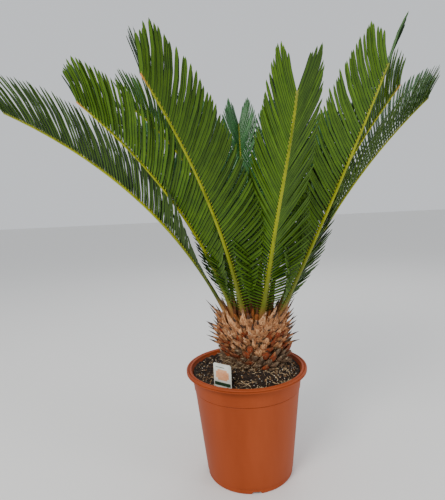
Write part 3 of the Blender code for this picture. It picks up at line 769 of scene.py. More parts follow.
def stub_shape(name, prongs, taper, tip_thickness, hollow):
    """A frond's old base, 1 long in Y: wide and thick where it leaves the trunk, torn at its end."""
    columns = len(prongs) - 1
    rows = ((0.0, 0.86, 1.0), (0.34, 1.0, 0.92), (0.66, taper, 0.62), (1.0, taper * 0.62, tip_thickness))
    builder = bmesh.new()
    layers = []
    for side in (1.0, -1.0):
        layer = []
        for along, width, thickness in rows:
            row = []
            for k in range(columns + 1):
                across = k / columns - 0.5
                reach = along if along < 0.5 else 0.34 + (along - 0.34) * prongs[k]
                crown = math.cos(math.pi * across * 0.86)
                height = side * 0.5 * thickness * crown
                if side > 0:
                    height -= hollow * along * crown
                row.append(builder.verts.new((across * width, reach, height)))
            layer.append(row)
        layers.append(layer)
    for layer, lower in ((layers[0], False), (layers[1], True)):
        for near, far in zip(layer, layer[1:]):
            for k in range(columns):
                corners = (near[k], near[k + 1], far[k + 1], far[k])
                builder.faces.new(corners[::-1] if lower else corners)
    top, bottom = layers
    for j in range(len(rows) - 1):
        builder.faces.new((top[j][0], top[j + 1][0], bottom[j + 1][0], bottom[j][0]))
        builder.faces.new((top[j][-1], bottom[j][-1], bottom[j + 1][-1], top[j + 1][-1]))
    for k in range(columns):
        builder.faces.new((top[0][k + 1], top[0][k], bottom[0][k], bottom[0][k + 1]))
        builder.faces.new((top[-1][k], top[-1][k + 1], bottom[-1][k + 1], bottom[-1][k]))
    mesh = mesh_from(name, builder, smooth=False)
    mark_faces(mesh, "second", [face.center.y > 0.72 for face in mesh.polygons])
    return mesh


STUB_BANDS = (
    # name, level from, level to, length low and high, steepness low and high, finish, worn end
    ("trunk_stubs_weathered", 0.02, 0.28, 0.008, 0.014, 12, 40, "weathered", "weathered_ends"),
    ("trunk_stubs_rusty", 0.28, 0.58, 0.012, 0.018, 40, 58, "rusty", "rusty_ends"),
    ("trunk_stubs_papery", 0.58, 1.02, 0.016, 0.034, 46, 80, "papery", "papery_ends"),
)
stub_finishes = {
    "weathered": ((70, 52, 38), (112, 88, 66), (86, 66, 50)),
    "weathered_ends": ((98, 82, 66), (150, 130, 104), (60, 46, 36)),
    "rusty": ((90, 40, 18), (152, 68, 30), (108, 56, 32), (140, 88, 58)),
    "rusty_ends": ((70, 38, 24), (164, 110, 70), (104, 60, 36)),
    "papery": ((104, 60, 34), (226, 172, 122), (150, 94, 56), (238, 192, 146)),
    "papery_ends": ((104, 66, 42), (220, 178, 138), (84, 52, 34), (200, 146, 102)),
}
bark_finishes = {}
for tone_name, tones in stub_finishes.items():
    bark_finishes[tone_name] = mottled_finish(
        "bark_" + tone_name, tones, 150.0, 0.85, 0.0008, 900.0, specular=0.3, stretch=(1.0, 1.0, 0.55)
    )
stub_shapes = shape_collection(
    "stub",
    [
        stub_shape("stub_pointed", (0.55, 0.85, 1.0, 0.85, 0.55), 0.62, 0.20, 0.10),
        stub_shape("stub_torn", (0.75, 0.95, 0.60, 1.0, 0.50), 0.78, 0.12, 0.16),
        stub_shape("stub_split", (0.50, 1.0, 0.55, 0.80, 0.92), 0.74, 0.10, 0.20),
        stub_shape("stub_broken", (0.62, 0.55, 0.70, 0.52, 0.66), 0.90, 0.34, 0.05),
    ],
)
chance = random.Random(11)
stub_places = {band[0]: [] for band in STUB_BANDS}
for i in range(STUB_COUNT):
    level = 0.02 + i / (STUB_COUNT - 1)
    felt_level = max(0.02, min(1.01, level + chance.uniform(-0.30, 0.22)))
    for band in STUB_BANDS:
        if band[1] <= felt_level < band[2]:
            break
    name, low, high, short, long, shallow, steep, _, _ = band
    share = max(0.0, min(1.0, (level - low) / (high - low)))
    angle = i * GOLDEN_ANGLE + chance.uniform(-0.04, 0.04)
    outward = outward_at(angle)
    steepness = math.radians(shallow + (steep - shallow) * share + chance.uniform(-20, 16))
    along = outward * math.cos(steepness) + UP * math.sin(steepness)
    along.rotate(Matrix.Rotation(chance.uniform(-0.28, 0.28), 3, outward))
    across = outward.cross(UP)
    across = (across - along * across.dot(along)).normalized()
    sunk = TOP_STUBS_INSET if level > 1.0 else 0.0
    if level < FOOT_BULGE_TO:
        sunk -= FOOT_BULGE * max(0.0, math.cos(angle - FOOT_BULGE_WAY)) ** 3
    surface = trunk_spot(min(1.0, level), outward, sunk)
    length = (short + (long - short) * share) * chance.uniform(0.8, 1.2)
    width = STUB_WIDTH * chance.uniform(0.62, 1.12)
    size = Vector((width, length + STUB_SUNK, STUB_THICKNESS * chance.uniform(0.8, 1.15)))
    pick = chance.choice((0, 1, 2, 3))
    stub_places[name].append((surface - along * STUB_SUNK, turn_to(across, along), size, pick))
for name, _, _, _, _, _, _, finish_name, ends_name in STUB_BANDS:
    stubs = plant_shapes(
        name, stub_places[name], stub_shapes, bark_finishes[finish_name], bark_finishes[ends_name]
    )
    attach(stubs, "root")
drop_collection(stub_shapes)

# Spikes. Thin dry tips of old leaf bases that stand out between the stubs on the upper trunk, tan with
# dark points, longest at the top.
SPIKE_COUNT = 92
SPIKE_SHORTEST = 0.030
SPIKE_LENGTH = 0.050
SPIKE_WIDTH = 0.0074


def spike_shape(name, half_width, bend, sides, dark_from, taper):
    """A thin tapering spike, 1 long in Y, that bends a little. Its end takes the second finish."""
    stations = (0.0, 0.3, dark_from - 0.05, dark_from, 0.84)
    rings = []
    for share in stations:
        radius = half_width * (1.0 - share**taper)
        middle = Vector((0.0, share, bend * share * share))
        angles = [math.tau * k / sides for k in range(sides)]
        rings.append([middle + Vector((math.cos(a), 0.0, 0.6 * math.sin(a))) * radius for a in angles])
    tip = Vector((0.0, 1.0, bend))
    rings.append([tip + Vector((math.cos(a), 0.0, math.sin(a))) * (half_width * 0.03) for a in angles])
    builder = bmesh.new()
    skin_rings(builder, rings)
    mesh = mesh_from(name, builder)
    mark_faces(mesh, "second", [face.center.y > dark_from for face in mesh.polygons])
    return mesh


spike_tan = mottled_finish(
    "spike_tan",
    ((128, 80, 46), (188, 132, 86), (104, 66, 40)),
    patch_scale=140.0, stretch=(1.0, 1.0, 0.4), roughness=0.7,
    relief=0.0004, relief_scale=900.0, specular=0.35,
)
spike_dark = mottled_finish(
    "spike_dark",
    ((44, 28, 18), (84, 56, 36)),
    patch_scale=200.0, stretch=(1.0, 1.0, 0.4), roughness=0.6,
    relief=0.0003, relief_scale=900.0, specular=0.4,
)
spike_bends = enumerate((0.06, 0.12, 0.0))
spike_shapes = shape_collection(
    "spike", [spike_shape(f"spike_{i}", 0.5, bend, 6, 0.62, 2.3) for i, bend in spike_bends]
)
chance = random.Random(17)
spike_places = []
for i in range(SPIKE_COUNT):
    share = i / (SPIKE_COUNT - 1)
    level = 0.42 + 0.57 * share
    outward = outward_at(i * GOLDEN_ANGLE + 0.7)
    steepness = math.radians(28 + 24 * share + chance.uniform(-14, 14))
    along = outward * math.cos(steepness) + UP * math.sin(steepness)
    across = outward.cross(UP)
    length = (SPIKE_SHORTEST + (SPIKE_LENGTH - SPIKE_SHORTEST) * share) * chance.uniform(0.65, 1.1)
    width = SPIKE_WIDTH * chance.uniform(0.8, 1.2)
    size = Vector((width, length, width * 1.05))
    spike_places.append((trunk_spot(level, outward, 0.002), turn_to(across, along), size, i % 3))
spikes = plant_shapes("trunk_spikes", spike_places, spike_shapes, spike_tan, spike_dark)
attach(spikes, "root")

# Fibres. Short dry hairs off the torn stubs, thickest at the foot of the trunk, where some hang down.
FIBRE_COUNT = 1500
FIBRE_WIDTH = 0.0011
fibre_bends = enumerate((0.2, -0.3))
fibre_shapes = shape_collection(
    "fibre", [spike_shape(f"fibre_{i}", 0.5, bend, 3, 0.7, 1.2) for i, bend in fibre_bends]
)
chance = random.Random(23)
fibre_places = []
for i in range(FIBRE_COUNT):
    level = 0.95 * chance.random() ** 1.8
    outward = outward_at(chance.uniform(0.0, math.tau))
    side = outward.cross(UP)
    along = outward * chance.uniform(0.1, 0.9) + side * chance.uniform(-0.7, 0.7)
    along = (along + UP * chance.uniform(-0.5 if level < 0.3 else 0.1, 1.0)).normalized()
    across = along.cross(outward).normalized()
    size = Vector((FIBRE_WIDTH, chance.uniform(0.006, 0.019), FIBRE_WIDTH))
    fibre_places.append((trunk_spot(level, outward, 0.001), turn_to(across, along), size, i % 2))
fibre_ends = bark_finishes["weathered_ends"]
fibres = plant_shapes("trunk_fibres", fibre_places, fibre_shapes, root_pale, fibre_ends)
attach(fibres, "root")

# Bud. The growing point in the middle of the crown: upright rusty bracts with dark tips, packed between
# the feet of the fronds and lower towards the outside.
bud_low, bud_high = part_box("crown_bud")
BUD_FOOT_Z = bud_low.z
BUD_TALLEST = bud_high.z - bud_low.z
BRACT_COUNT = 64
BRACT_RING = 0.046
BRACT_WIDTH = 0.0085
BRACT_SUNK = 0.003
bract_rust = mottled_finish(
    "bract_rust",
    ((128, 66, 28), (184, 108, 52), (150, 80, 36)),
    patch_scale=120.0, stretch=(1.0, 1.0, 0.3), roughness=0.75,
    relief=0.0005, relief_scale=800.0, specular=0.3,
)
bract_tip = mottled_finish(
    "bract_tip",
    ((62, 36, 20), (104, 66, 36)),
    patch_scale=160.0, stretch=(1.0, 1.0, 0.3), roughness=0.7,
    relief=0.0004, relief_scale=800.0, specular=0.3,
)
chance = random.Random(29)
bract_places = []
for i in range(BRACT_COUNT):
    share = (i + 0.5) / BRACT_COUNT
    reach = BRACT_RING * math.sqrt(share)
    outward = outward_at(i * GOLDEN_ANGLE + 0.3)
    along = (outward * (0.10 + 0.42 * share) + UP).normalized()
    across = outward.cross(UP)
    length = BUD_TALLEST * (0.95 - 0.40 * share) * chance.uniform(0.72, 1.0)
    width = BRACT_WIDTH * chance.uniform(0.8, 1.2)
    size = Vector((width, length, width * 0.45))
    foot = Vector((TRUNK_X, 0.0, BUD_FOOT_Z - BRACT_SUNK)) + outward * reach
    bract_places.append((foot, turn_to(across, along), size, i % 3))
bracts = plant_shapes("crown_bracts", bract_places, spike_shapes, bract_rust, bract_tip)
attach(bracts, "root")
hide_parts("crown_bud")

# Crown scales. Tall dark brown scales that stand between the feet of the fronds and hide the middle of
# the crown. They grow from the bud with the bracts.
SCALE_COUNT = 44
SCALE_RING = 0.040
scale_brown = mottled_finish(
    "scale_brown",
    ((48, 30, 20), (126, 78, 46), (84, 52, 32)),
    patch_scale=110.0, stretch=(1.0, 1.0, 0.3), roughness=0.8,
    relief=0.0005, relief_scale=800.0, specular=0.2,
)
chance = random.Random(41)
scale_places = []
for i in range(SCALE_COUNT):
    reach = SCALE_RING * math.sqrt((i + 0.5) / SCALE_COUNT)
    outward = outward_at(i * GOLDEN_ANGLE + 1.1)
    along = (outward * chance.uniform(0.0, 0.28) + UP).normalized()
    across = outward.cross(UP)
    width = chance.uniform(0.009, 0.014)
    size = Vector((width, chance.uniform(0.054, 0.084), width * 0.4))
    foot = Vector((TRUNK_X, 0.0, BUD_FOOT_Z - BRACT_SUNK)) + outward * reach
    scale_places.append((foot, turn_to(across, along), size, i % 3))
scales = plant_shapes("crown_scales", scale_places, spike_shapes, scale_brown, bract_tip)
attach(scales, "root")
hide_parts("crown_bud")
drop_collection(spike_shapes)

# Crown wool. Soft tan hairs that fill the top of the trunk between the bracts and the fronds.
WOOL_COUNT = 1500
WOOL_RING = 0.052
WOOL_SUNK = 0.002
wool_tan = mottled_finish(
    "wool_tan",
    ((150, 96, 48), (200, 146, 84), (172, 116, 62)),
    patch_scale=180.0, roughness=0.95, relief=0.0005, relief_scale=1200.0, specular=0.2,
)
chance = random.Random(37)
wool_places = []
for i in range(WOOL_COUNT):
    reach = WOOL_RING * math.sqrt(chance.random())
    outward = outward_at(chance.uniform(0.0, math.tau))
    side = outward.cross(UP)
    along = outward * chance.uniform(-0.3, 0.6) + side * chance.uniform(-0.4, 0.4) + UP
    along.normalize()
    across = along.cross(outward).normalized()
    foot = Vector((TRUNK_X, 0.0, BUD_FOOT_Z - WOOL_SUNK)) + outward * reach
    size = Vector((FIBRE_WIDTH, chance.uniform(0.010, 0.030) * (1.2 - reach / 0.09), FIBRE_WIDTH))
    wool_places.append((foot, turn_to(across, along), size, i % 2))
wool = plant_shapes("crown_wool", wool_places, fibre_shapes, wool_tan, wool_tan)
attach(wool, "root")
drop_collection(fibre_shapes)

# Ribs. Each of the thirteen fronds has one stiff rib, rounded below and flatter on its inner face, tan and
# swollen where it joins the trunk and yellow-green further out. It leans outwards more and more.
FROND_FOOT_Z = 0.298
RIB_FOOT_RADIUS = 0.0046
RIB_MIDDLE_RADIUS = 0.0026
RIB_TIP_RADIUS = 0.0011
RIB_MIDDLE = 0.4
RIB_SIDES = 12
RIB_RINGS = 60
RIB_SUNK = 0.010
RIB_FLATTENED = 0.72
RIB_BROADENED = 1.08
FOOT_SWELL = 0.0050
SWELL_ENDS_BY = 0.025
ROLL_BY = 0.5
# Each row is a frond: its name, its direction round the trunk, its lean from the vertical at the foot and
# at the tip, how far it turns sideways on the way, its sway to and fro, how far it rolls on its own rib
# and how much further its two rows fold up near the tip, all in degrees. Then its rib's length, its
# foot's distance from the trunk's axis, its longest leaflet, the share of the rib that is bare at the
# foot and the row, -1 or 1, whose last leaflets close up along the rib, or 0. Last its leaflets' tone and
# its rib's colours.
FRONDS = (
    ("frond_left_low", 190, 23, 64, 4, 0, 0, 20, 0.532, 0.045, 0.106, 0.13, 0, "shaded", "dark"),
    ("frond_left_front", 208, 17, 51, -1, 0, 0, 20, 0.460, 0.038, 0.101, 0.08, 0, "front", "orange"),
    ("frond_left_back", 172, -4, 52, 3, 0, 0, 20, 0.472, 0.038, 0.098, 0.10, 0, "back", "green"),
    ("frond_front_left", 243, 20, 48, -5, 0, -10, 18, 0.455, 0.034, 0.097, 0.05, 0, "front", "orange"),
    ("frond_front", 288, 27, 39, -17, -3, -12, 4, 0.410, 0.037, 0.096, 0.05, 0, "front", "green"),
    ("frond_front_right", 328, 28, 23, 0, 0, -32, 0, 0.457, 0.050, 0.106, 0.05, 1, "front", "green"),
    ("frond_right_front", 350, 20, 38, 1, 0, 0, 18, 0.465, 0.044, 0.096, 0.06, 0, "middle", "orange"),
    ("frond_right_low", 10, 25, 49, -6, 0, 8, 20, 0.510, 0.058, 0.099, 0.10, 0, "middle", "green"),
    ("frond_right_back", 40, 18, 50, 2, 0, 0, 16, 0.455, 0.040, 0.102, 0.08, 0, "back", "green"),
    ("frond_back_right", 66, 12, 42, 0, 0, 0, 16, 0.465, 0.035, 0.102, 0.06, 0, "back", "green"),
    ("frond_back", 92, 10, 38, -4, 0, 0, 12, 0.452, 0.035, 0.102, 0.06, 0, "back", "green"),
    ("frond_back_left", 118, 12, 42, 3, 0, 0, 16, 0.490, 0.038, 0.102, 0.06, 0, "back", "green"),
    ("frond_left_far", 146, 16, 54, 0, 0, 0, 18, 0.475, 0.040, 0.102, 0.08, 0, "back", "green"),
)


def smooth_step(value):
    """From 0 to 1 as the value goes from 0 to 1, level at both ends."""
    value = max(0.0, min(1.0, value))
    return value * value * (3 - 2 * value)


def rib_radius(share):
    """The rib's radius, which shrinks fast up to its middle station and slowly after it."""
    if share < RIB_MIDDLE:
        return RIB_FOOT_RADIUS + (RIB_MIDDLE_RADIUS - RIB_FOOT_RADIUS) * share / RIB_MIDDLE
    outer = (share - RIB_MIDDLE) / (1 - RIB_MIDDLE)
    return RIB_MIDDLE_RADIUS + (RIB_TIP_RADIUS - RIB_MIDDLE_RADIUS) * outer


class Frond:
    """One frond's rib as a curve in space, with the directions that its leaflets follow."""

    STEPS = 40

    def __init__(self, row):
        self.name, around, lean_foot, lean_tip, turn, sway, roll, self.fold = row[:8]
        self.length, foot_radius, self.longest, self.bare, self.closing, self.tone, self.end = row[8:]
        self.roll = math.radians(roll)
        foot = outward_at(math.radians(around)) * foot_radius
        self.points = [Vector((TRUNK_X, 0.0, FROND_FOOT_Z)) + foot]
        self.ways = []
        for i in range(self.STEPS):
            share = (i + 0.5) / self.STEPS
            lean = math.radians(lean_foot + (lean_tip - lean_foot) * share)
            way = math.radians(around + turn * share + sway * math.sin(math.tau * share))
            self.ways.append(outward_at(way) * math.sin(lean) + UP * math.cos(lean))
            self.points.append(self.points[-1] + self.ways[-1] * (self.length / self.STEPS))
        out = self.points[-1] - self.points[0]
        out.z = 0.0
        self.out = out.normalized()

    def at(self, share):
        """The rib's point, and its forward, sideways and inward directions, at a share of its length."""
        place = share * self.STEPS
        i = min(int(place), self.STEPS - 1)
        point = self.points[i].lerp(self.points[i + 1], place - i)
        before = max(0, min(self.STEPS - 1, math.floor(place - 0.5)))
        after = min(self.STEPS - 1, before + 1)
        mix = max(0.0, min(1.0, place - 0.5 - before))
        forward = self.ways[before].lerp(self.ways[after], mix).normalized()
        side = UP.cross(self.out)
        side = (side - forward * side.dot(forward)).normalized()
        inward = forward.cross(side)
        if inward.dot(Vector((0.0, 0.0, 0.3)) - self.out) < 0:
            inward.negate()
        roll = self.roll * smooth_step(share / ROLL_BY)
        turned_side = side * math.cos(roll) + inward * math.sin(roll)
        turned_inward = inward * math.cos(roll) - side * math.sin(roll)
        return point, forward, turned_side, turned_inward


def rib_rings(frond):
    """A rib's rings: rounded below, flatter on the inner face, swollen where it joins the trunk."""
    rings = []
    shares = []
    for i in range(-2, RIB_RINGS + 1):
        share = max(0.0, i / RIB_RINGS)
        point, forward, side, inward = frond.at(share)
        if i < 0:
            point = point + forward * (RIB_SUNK * i / 2)
        swell = FOOT_SWELL * math.exp(-share / SWELL_ENDS_BY)
        radius = rib_radius(share)
        ring = []
        for k in range(RIB_SIDES):
            angle = math.tau * k / RIB_SIDES
            rise = math.sin(angle)
            deep = (RIB_FLATTENED if rise > 0 else 1.0) * rise
            across = (radius * RIB_BROADENED + swell * 1.2) * math.cos(angle)
            ring.append(point + side * across + inward * ((radius + swell * 0.5) * deep))
        rings.append(ring)
        shares.append(share)
    return rings, shares


def rib_finish(name, petiole_colour, end_colour):
    """Rib skin whose colour follows the share of the way from the foot to the tip, with fine streaks."""
    material = mottled_finish(
        name,
        ((112, 124, 8), (152, 158, 16), (130, 140, 10)),
        patch_scale=60.0, stretch=(1.0, 1.0, 0.35), roughness=0.5,
        relief=0.0001, relief_scale=700.0, specular=0.25,
    )
    nodes = material.node_tree.nodes
    links = material.node_tree.links
    shader = nodes["Principled BSDF"]
    plain = shader.inputs["Base Color"].links[0].from_socket
    along = nodes.new("ShaderNodeAttribute")
    along.attribute_name = "along"
    tint = nodes.new("ShaderNodeValToRGB")
    stops = (
        # share of the length, colour, how far it covers the plain one
        (0.0, (168, 100, 56), 1.0),
        (0.05, (150, 108, 58), 1.0),
        (0.10, petiole_colour, 0.9),
        (0.24, petiole_colour, 0.7),
        (0.5, (114, 126, 12), 0.0),
        (0.93, (126, 134, 20), 0.0),
        (1.0, end_colour, 1.0),
    )
    for i in range(len(stops) - 2):
        tint.color_ramp.elements.new(0.5)
    for i, (position, colour, cover) in enumerate(stops):
        tint.color_ramp.elements[i].position = position
        tint.color_ramp.elements[i].color = (*srgb(*colour), cover)
    links.new(along.outputs["Fac"], tint.inputs["Fac"])
    mix = nodes.new("ShaderNodeMix")
    mix.data_type = "RGBA"
    links.new(tint.outputs["Alpha"], mix.inputs["Factor"])
    links.new(plain, mix.inputs[6])
    links.new(tint.outputs["Color"], mix.inputs[7])
    links.new(mix.outputs[2], shader.inputs["Base Color"])
    return material


rib_finishes = {
    "green": rib_finish("rib_green", (92, 101, 27), (120, 128, 50)),
    "dark": rib_finish("rib_dark_foot", (42, 60, 16), (120, 128, 50)),
    "orange": rib_finish("rib_orange_end", (92, 101, 27), (206, 128, 62)),
}
fronds = [Frond(row) for row in FRONDS]
rib_trees = []
for frond in fronds:
    rings, shares = rib_rings(frond)
    rib_builder = bmesh.new()
    skin_rings(rib_builder, rings)
    rib = piece_from("rib_" + frond.name, rib_builder, rib_finishes[frond.end])
    follow = rib.data.attributes.new("along", "FLOAT", "POINT")
    follow.data.foreach_set("value", [share for share in shares for k in range(RIB_SIDES)])
    corners = [vertex.co for vertex in rib.data.vertices]
    faces = [tuple(face.vertices) for face in rib.data.polygons]
    rib_trees.append(BVHTree.FromPolygons(corners, faces))
    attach(rib, "root")
    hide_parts(frond.name)

# Leaflets. Two rows of narrow sharp leaflets along each rib, folded up towards each other, each a little
# turned over the next like shingles. They are leathery, dark and glossy above and dull below, with
# painted shade in near-black strips along their margins for the dark lines between overlapping leaflets,
# and one that would reach another frond's rib is shortened. One row of leaflets closes up along the end
# of frond_front_right. The tree that plants the stubs plants them.
LEAFLET_SPACING = 0.0060
LEAFLET_WIDTH = 0.0050
WIDTH_BY_TONE = {"front": 1.0, "middle": 0.76, "shaded": 0.76, "back": 0.84}
FOOT_WIDENING = 0.22
WIDTH_RATIOS = (0.038, 0.049, 0.062, 0.085, 0.130)
SHORTEST_LEAFLET = 0.007
LAST_LEAFLET = 0.998
ROWS_APART = 0.2
ROOT_SIDEWAYS = 0.45
ROOT_INWARD = 0.25
RIB_CLEARANCE = 0.002
BLADE_TO_RIB_FACE = 0.7
SHINGLE_TWIST = math.radians(18)
FOLD_FROM = 0.10
CLOSING_FROM = 0.75
CLOSING_ANGLE = 16
CLOSING_TURN = math.radians(60)
FREE_ANGLE = 6
LEAFLET_CHORD = math.radians(7)
LEAFLET_BEND = math.radians(17.5)
LEAFLET_ARCH = 0.016
MARGIN_DROP = 0.24
MARGIN_SHARE = 0.13
UPPER_MARGIN_SHARE = 0.09
FOOT_OUT = 0.0008
LEAF_TONES = {
    # upper side, then under side
    "front": (((40, 74, 26), (58, 94, 34)), ((63, 96, 12), (82, 115, 20))),
    "middle": (((44, 78, 40), (64, 100, 52)), ((64, 92, 12), (84, 112, 22))),
    # The shaded tone is painted shade: darker copies of the leaf colours for frond_left_low, whose leaflets
    # lie in shade.
    "shaded": (((22, 44, 24), (36, 62, 34)), ((46, 72, 16), (66, 94, 24))),
    "back": (((34, 88, 36), (54, 112, 50)), ((56, 90, 18), (74, 108, 28))),
}


def leaflet_share(frond, share, hand):
    """A leaflet's length over the longest one's: short at the foot, full further out, shorter at the end."""
    rise = math.sin(math.pi / 2 * max(0.0, min(1.0, (share - frond.bare) / 0.36)))
    fall = 0.18 * max(0.0, (share - 0.7) / 0.3) ** 2
    if hand != frond.closing:
        fall += 0.34 * smooth_step((share - 0.93) / 0.07)
    return (0.18 + 0.82 * rise**1.15) * (1 - fall)


def leaflet_angle(frond, share, hand):
    """The angle between a leaflet and its rib: wide open at the foot, closing towards the tip."""
    closing = CLOSING_ANGLE if hand == frond.closing else FREE_ANGLE
    closed = closing * smooth_step((share - CLOSING_FROM) / (1 - CLOSING_FROM))
    return math.radians(78 - 37 * share**0.75 - closed)


def leaflet_lift(share, fold):
    """How far the two rows fold up towards each other: bent back at the foot, a steep V further out."""
    rise = 54 * smooth_step((share - FOLD_FROM) / 0.4) + fold * smooth_step((share - 0.55) / 0.4)
    return math.radians(rise - 6)


def leaflet_shape(name, ratio, forward_side):
    """A leaflet 1 long in Y: narrow, roof-like above, bending to the rib's tip, its margin strips set apart
    for painted shade.
    """
    path = [Vector((0.0, 0.0, 0.0))]
    steps = 50
    for i in range(steps):
        share = (i + 0.5) / steps
        heading = -LEAFLET_CHORD + LEAFLET_BEND * max(0.0, (share - 0.2) / 0.8)
        path.append(path[-1] + Vector((math.sin(heading) * forward_side, math.cos(heading), 0.0)) / steps)
    end = path[-1]
    straighten = Matrix.Rotation(math.atan2(end.x, end.y), 3, "Z")
    path = [straighten @ point / end.length for point in path]
    stations = ((0.0, 0.66), (0.06, 0.84), (0.2, 1.0), (0.6, 1.0), (0.85, 0.90), (0.95, 0.56))
    inset = 1 - 2 * MARGIN_SHARE
    upper_inset = 1 - 2 * UPPER_MARGIN_SHARE
    rings = []
    for share, width in stations:
        place = share * steps
        i = min(int(place), steps - 1)
        point = path[i].lerp(path[i + 1], place - i)
        forward = (path[i + 1] - path[i]).normalized()
        half = Vector((forward.y, -forward.x, 0.0)) * (ratio * width / 2)
        rise = UP * (ratio * width)
        point = point + UP * (LEAFLET_ARCH * math.sin(math.pi * share))
        edge = rise * MARGIN_DROP
        rings.append(
            [
                point - half - edge,
                point - half * inset - edge * (inset + 0.2),
                point - rise * 0.04,
                point + half * inset - edge * (inset + 0.2),
                point + half - edge,
                point + half * upper_inset - edge * (upper_inset - 0.5),
                point + rise * 0.12,
                point - half * upper_inset - edge * (upper_inset - 0.5),
            ]
        )
    builder = bmesh.new()
    loops = [[builder.verts.new(point) for point in ring] for ring in rings]
    tip = builder.verts.new((0.0, 1.0, 0.0))
    # The margin strips collected here take the third finish, which is painted shade.
    painted_shade_strips = []
    for near, far in zip(loops, loops[1:]):
        for i in range(8):
            j = (i + 1) % 8
            builder.faces.new((near[i], near[j], far[j], far[i]))
            painted_shade_strips.append(i in (0, 3, 4, 7))
    for i in range(8):
        builder.faces.new((loops[-1][i], loops[-1][(i + 1) % 8], tip))
        painted_shade_strips.append(False)
    builder.faces.new(loops[0][::-1])
    painted_shade_strips.append(False)
    bmesh.ops.recalc_face_normals(builder, faces=builder.faces[:])
    for edge in builder.edges:
        edge.smooth = edge.calc_face_angle(0.0) <= math.radians(60)
    mesh = mesh_from(name, builder)
    mark_faces(mesh, "second", [face.normal.z < 0.0 for face in mesh.polygons])
    # The margin strips get the third finish: painted shade for the dark lines between overlapping leaflets.
    mark_faces(mesh, "third", painted_shade_strips)
    return mesh


def leaf_finish(name, colours, roughness, specular):
    """Leaf skin in patches of the given colours, lighter or darker from one leaflet to the next."""
    material = mottled_finish(name, colours, 45.0, roughness, 0.00012, 500.0, specular)
    nodes = material.node_tree.nodes
    links = material.node_tree.links
    shader = nodes["Principled BSDF"]
    plain = shader.inputs["Base Color"].links[0].from_socket
    leaflet_tone = nodes.new("ShaderNodeAttribute")
    leaflet_tone.attribute_name = "tone"
    strength = nodes.new("ShaderNodeMapRange")
    strength.inputs["To Min"].default_value = 0.80
    strength.inputs["To Max"].default_value = 1.14
    links.new(leaflet_tone.outputs["Fac"], strength.inputs["Value"])
    toned = nodes.new("ShaderNodeHueSaturation")
    links.new(strength.outputs["Result"], toned.inputs["Value"])
    links.new(plain, toned.inputs["Color"])
    links.new(toned.outputs["Color"], shader.inputs["Base Color"])
    return material
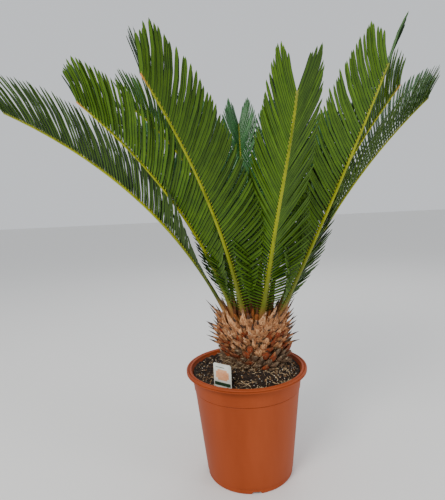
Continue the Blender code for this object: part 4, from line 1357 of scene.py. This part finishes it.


# Painted shade: this near-black finish on the leaflets' margin strips stands in for the shadow lines between
# overlapping leaflets.
leaf_margin = mottled_finish(
    "leaf_margin",
    ((10, 26, 6), (26, 48, 12)),
    patch_scale=45.0, roughness=0.6, relief=0.00012, relief_scale=500.0, specular=0.2,
)
leaf_finishes = {}
for tone_name, (upper_tones, under_tones) in LEAF_TONES.items():
    leaf_finishes[tone_name] = (
        leaf_finish("leaf_upper_" + tone_name, upper_tones, 0.34, 0.5),
        leaf_finish("leaf_under_" + tone_name, under_tones, 0.62, 0.25),
    )
leaflet_shapes = shape_collection(
    "leaflet",
    [leaflet_shape(f"leaflet_{ratio}_{way}", ratio, way) for way in (1, -1) for ratio in WIDTH_RATIOS],
)
leaflet_feet = []
for number, frond in enumerate(fronds):
    chance = random.Random(100 + number)
    others = [tree for i, tree in enumerate(rib_trees) if i != number]
    count = round((1 - frond.bare) * frond.length / LEAFLET_SPACING)
    places = []
    for i in range(count):
        for hand in (-1, 1):
            step = i + 0.5 + ROWS_APART * hand + chance.uniform(-0.1, 0.1)
            share = min(LAST_LEAFLET, frond.bare + (1 - frond.bare) * step / count)
            point, forward, side, inward = frond.at(share)
            lift = leaflet_lift(share, frond.fold) + math.radians(chance.uniform(-2.5, 2.5))
            chord = leaflet_angle(frond, share, hand) - LEAFLET_CHORD
            chord += math.radians(chance.uniform(-1.6, 1.6))
            sideways = side * (hand * math.cos(lift)) + inward * math.sin(lift)
            direction = forward * math.cos(chord) + sideways * math.sin(chord)
            full = frond.longest * leaflet_share(frond, share, hand) * chance.uniform(0.95, 1.0)
            root = point + (sideways * ROOT_SIDEWAYS + inward * ROOT_INWARD) * rib_radius(share)
            reach = point + direction * full - root
            for tree in others:
                hit = tree.ray_cast(root, reach.normalized(), reach.length + RIB_CLEARANCE)
                if hit[0] is not None:
                    reach = reach * ((hit[3] - RIB_CLEARANCE) / reach.length)
            length = reach.length
            if length < max(SHORTEST_LEAFLET, 0.3 * full):
                continue
            along = reach.normalized()
            row_facing = along.cross(forward).normalized()
            if row_facing.dot(inward) < 0:
                row_facing.negate()
            facing = row_facing * (1 - BLADE_TO_RIB_FACE) + inward * BLADE_TO_RIB_FACE
            facing = (facing - along * facing.dot(along)).normalized()
            turned_on_forward = 1 if along.cross(facing).dot(forward) > 0 else -1
            twist = turned_on_forward * SHINGLE_TWIST + math.radians(chance.uniform(-5, 5))
            if hand == frond.closing:
                twist += CLOSING_TURN * smooth_step((share - CLOSING_FROM) / (1 - CLOSING_FROM))
            facing.rotate(Matrix.Rotation(twist, 3, along))
            across = along.cross(facing).normalized()
            width = LEAFLET_WIDTH * WIDTH_BY_TONE[frond.tone] * (1 + FOOT_WIDENING * (1 - share))
            ratio = min(WIDTH_RATIOS[-1], width / length)
            nearest = min(range(len(WIDTH_RATIOS)), key=lambda k: abs(WIDTH_RATIOS[k] - ratio))
            pick = nearest if turned_on_forward > 0 else nearest + len(WIDTH_RATIOS)
            turn = turn_to(across, along)
            places.append((root, turn, Vector((length, length, length)), pick))
            leaflet_feet.append((point + sideways * rib_radius(share) + along * FOOT_OUT, turn))
    upper, under = leaf_finishes[frond.tone]
    leaflets = plant_shapes("leaflets_" + frond.name, places, leaflet_shapes, upper, under, leaf_margin)
    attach(leaflets, "root")
    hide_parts(frond.name)
drop_collection(leaflet_shapes)

# Leaflet feet. The pale swollen foot of each leaflet, where it is set into the side of the rib.
LEAFLET_BASE = Vector((0.0022, 0.0056, 0.0020))
base_skin = mottled_finish(
    "leaflet_base_skin",
    ((112, 120, 18), (156, 156, 32)),
    patch_scale=80.0, roughness=0.5, relief=0.0001, relief_scale=700.0,
)
base_builder = bmesh.new()
bmesh.ops.create_icosphere(base_builder, subdivisions=1, radius=0.5)
base_shapes = shape_collection("leaflet_base", [mesh_from("leaflet_base", base_builder)])
base_places = [(place, turn, LEAFLET_BASE, 0) for place, turn in leaflet_feet]
bases = plant_shapes("leaflet_bases", base_places, base_shapes, base_skin, base_skin)
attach(bases, "root")
drop_collection(base_shapes)
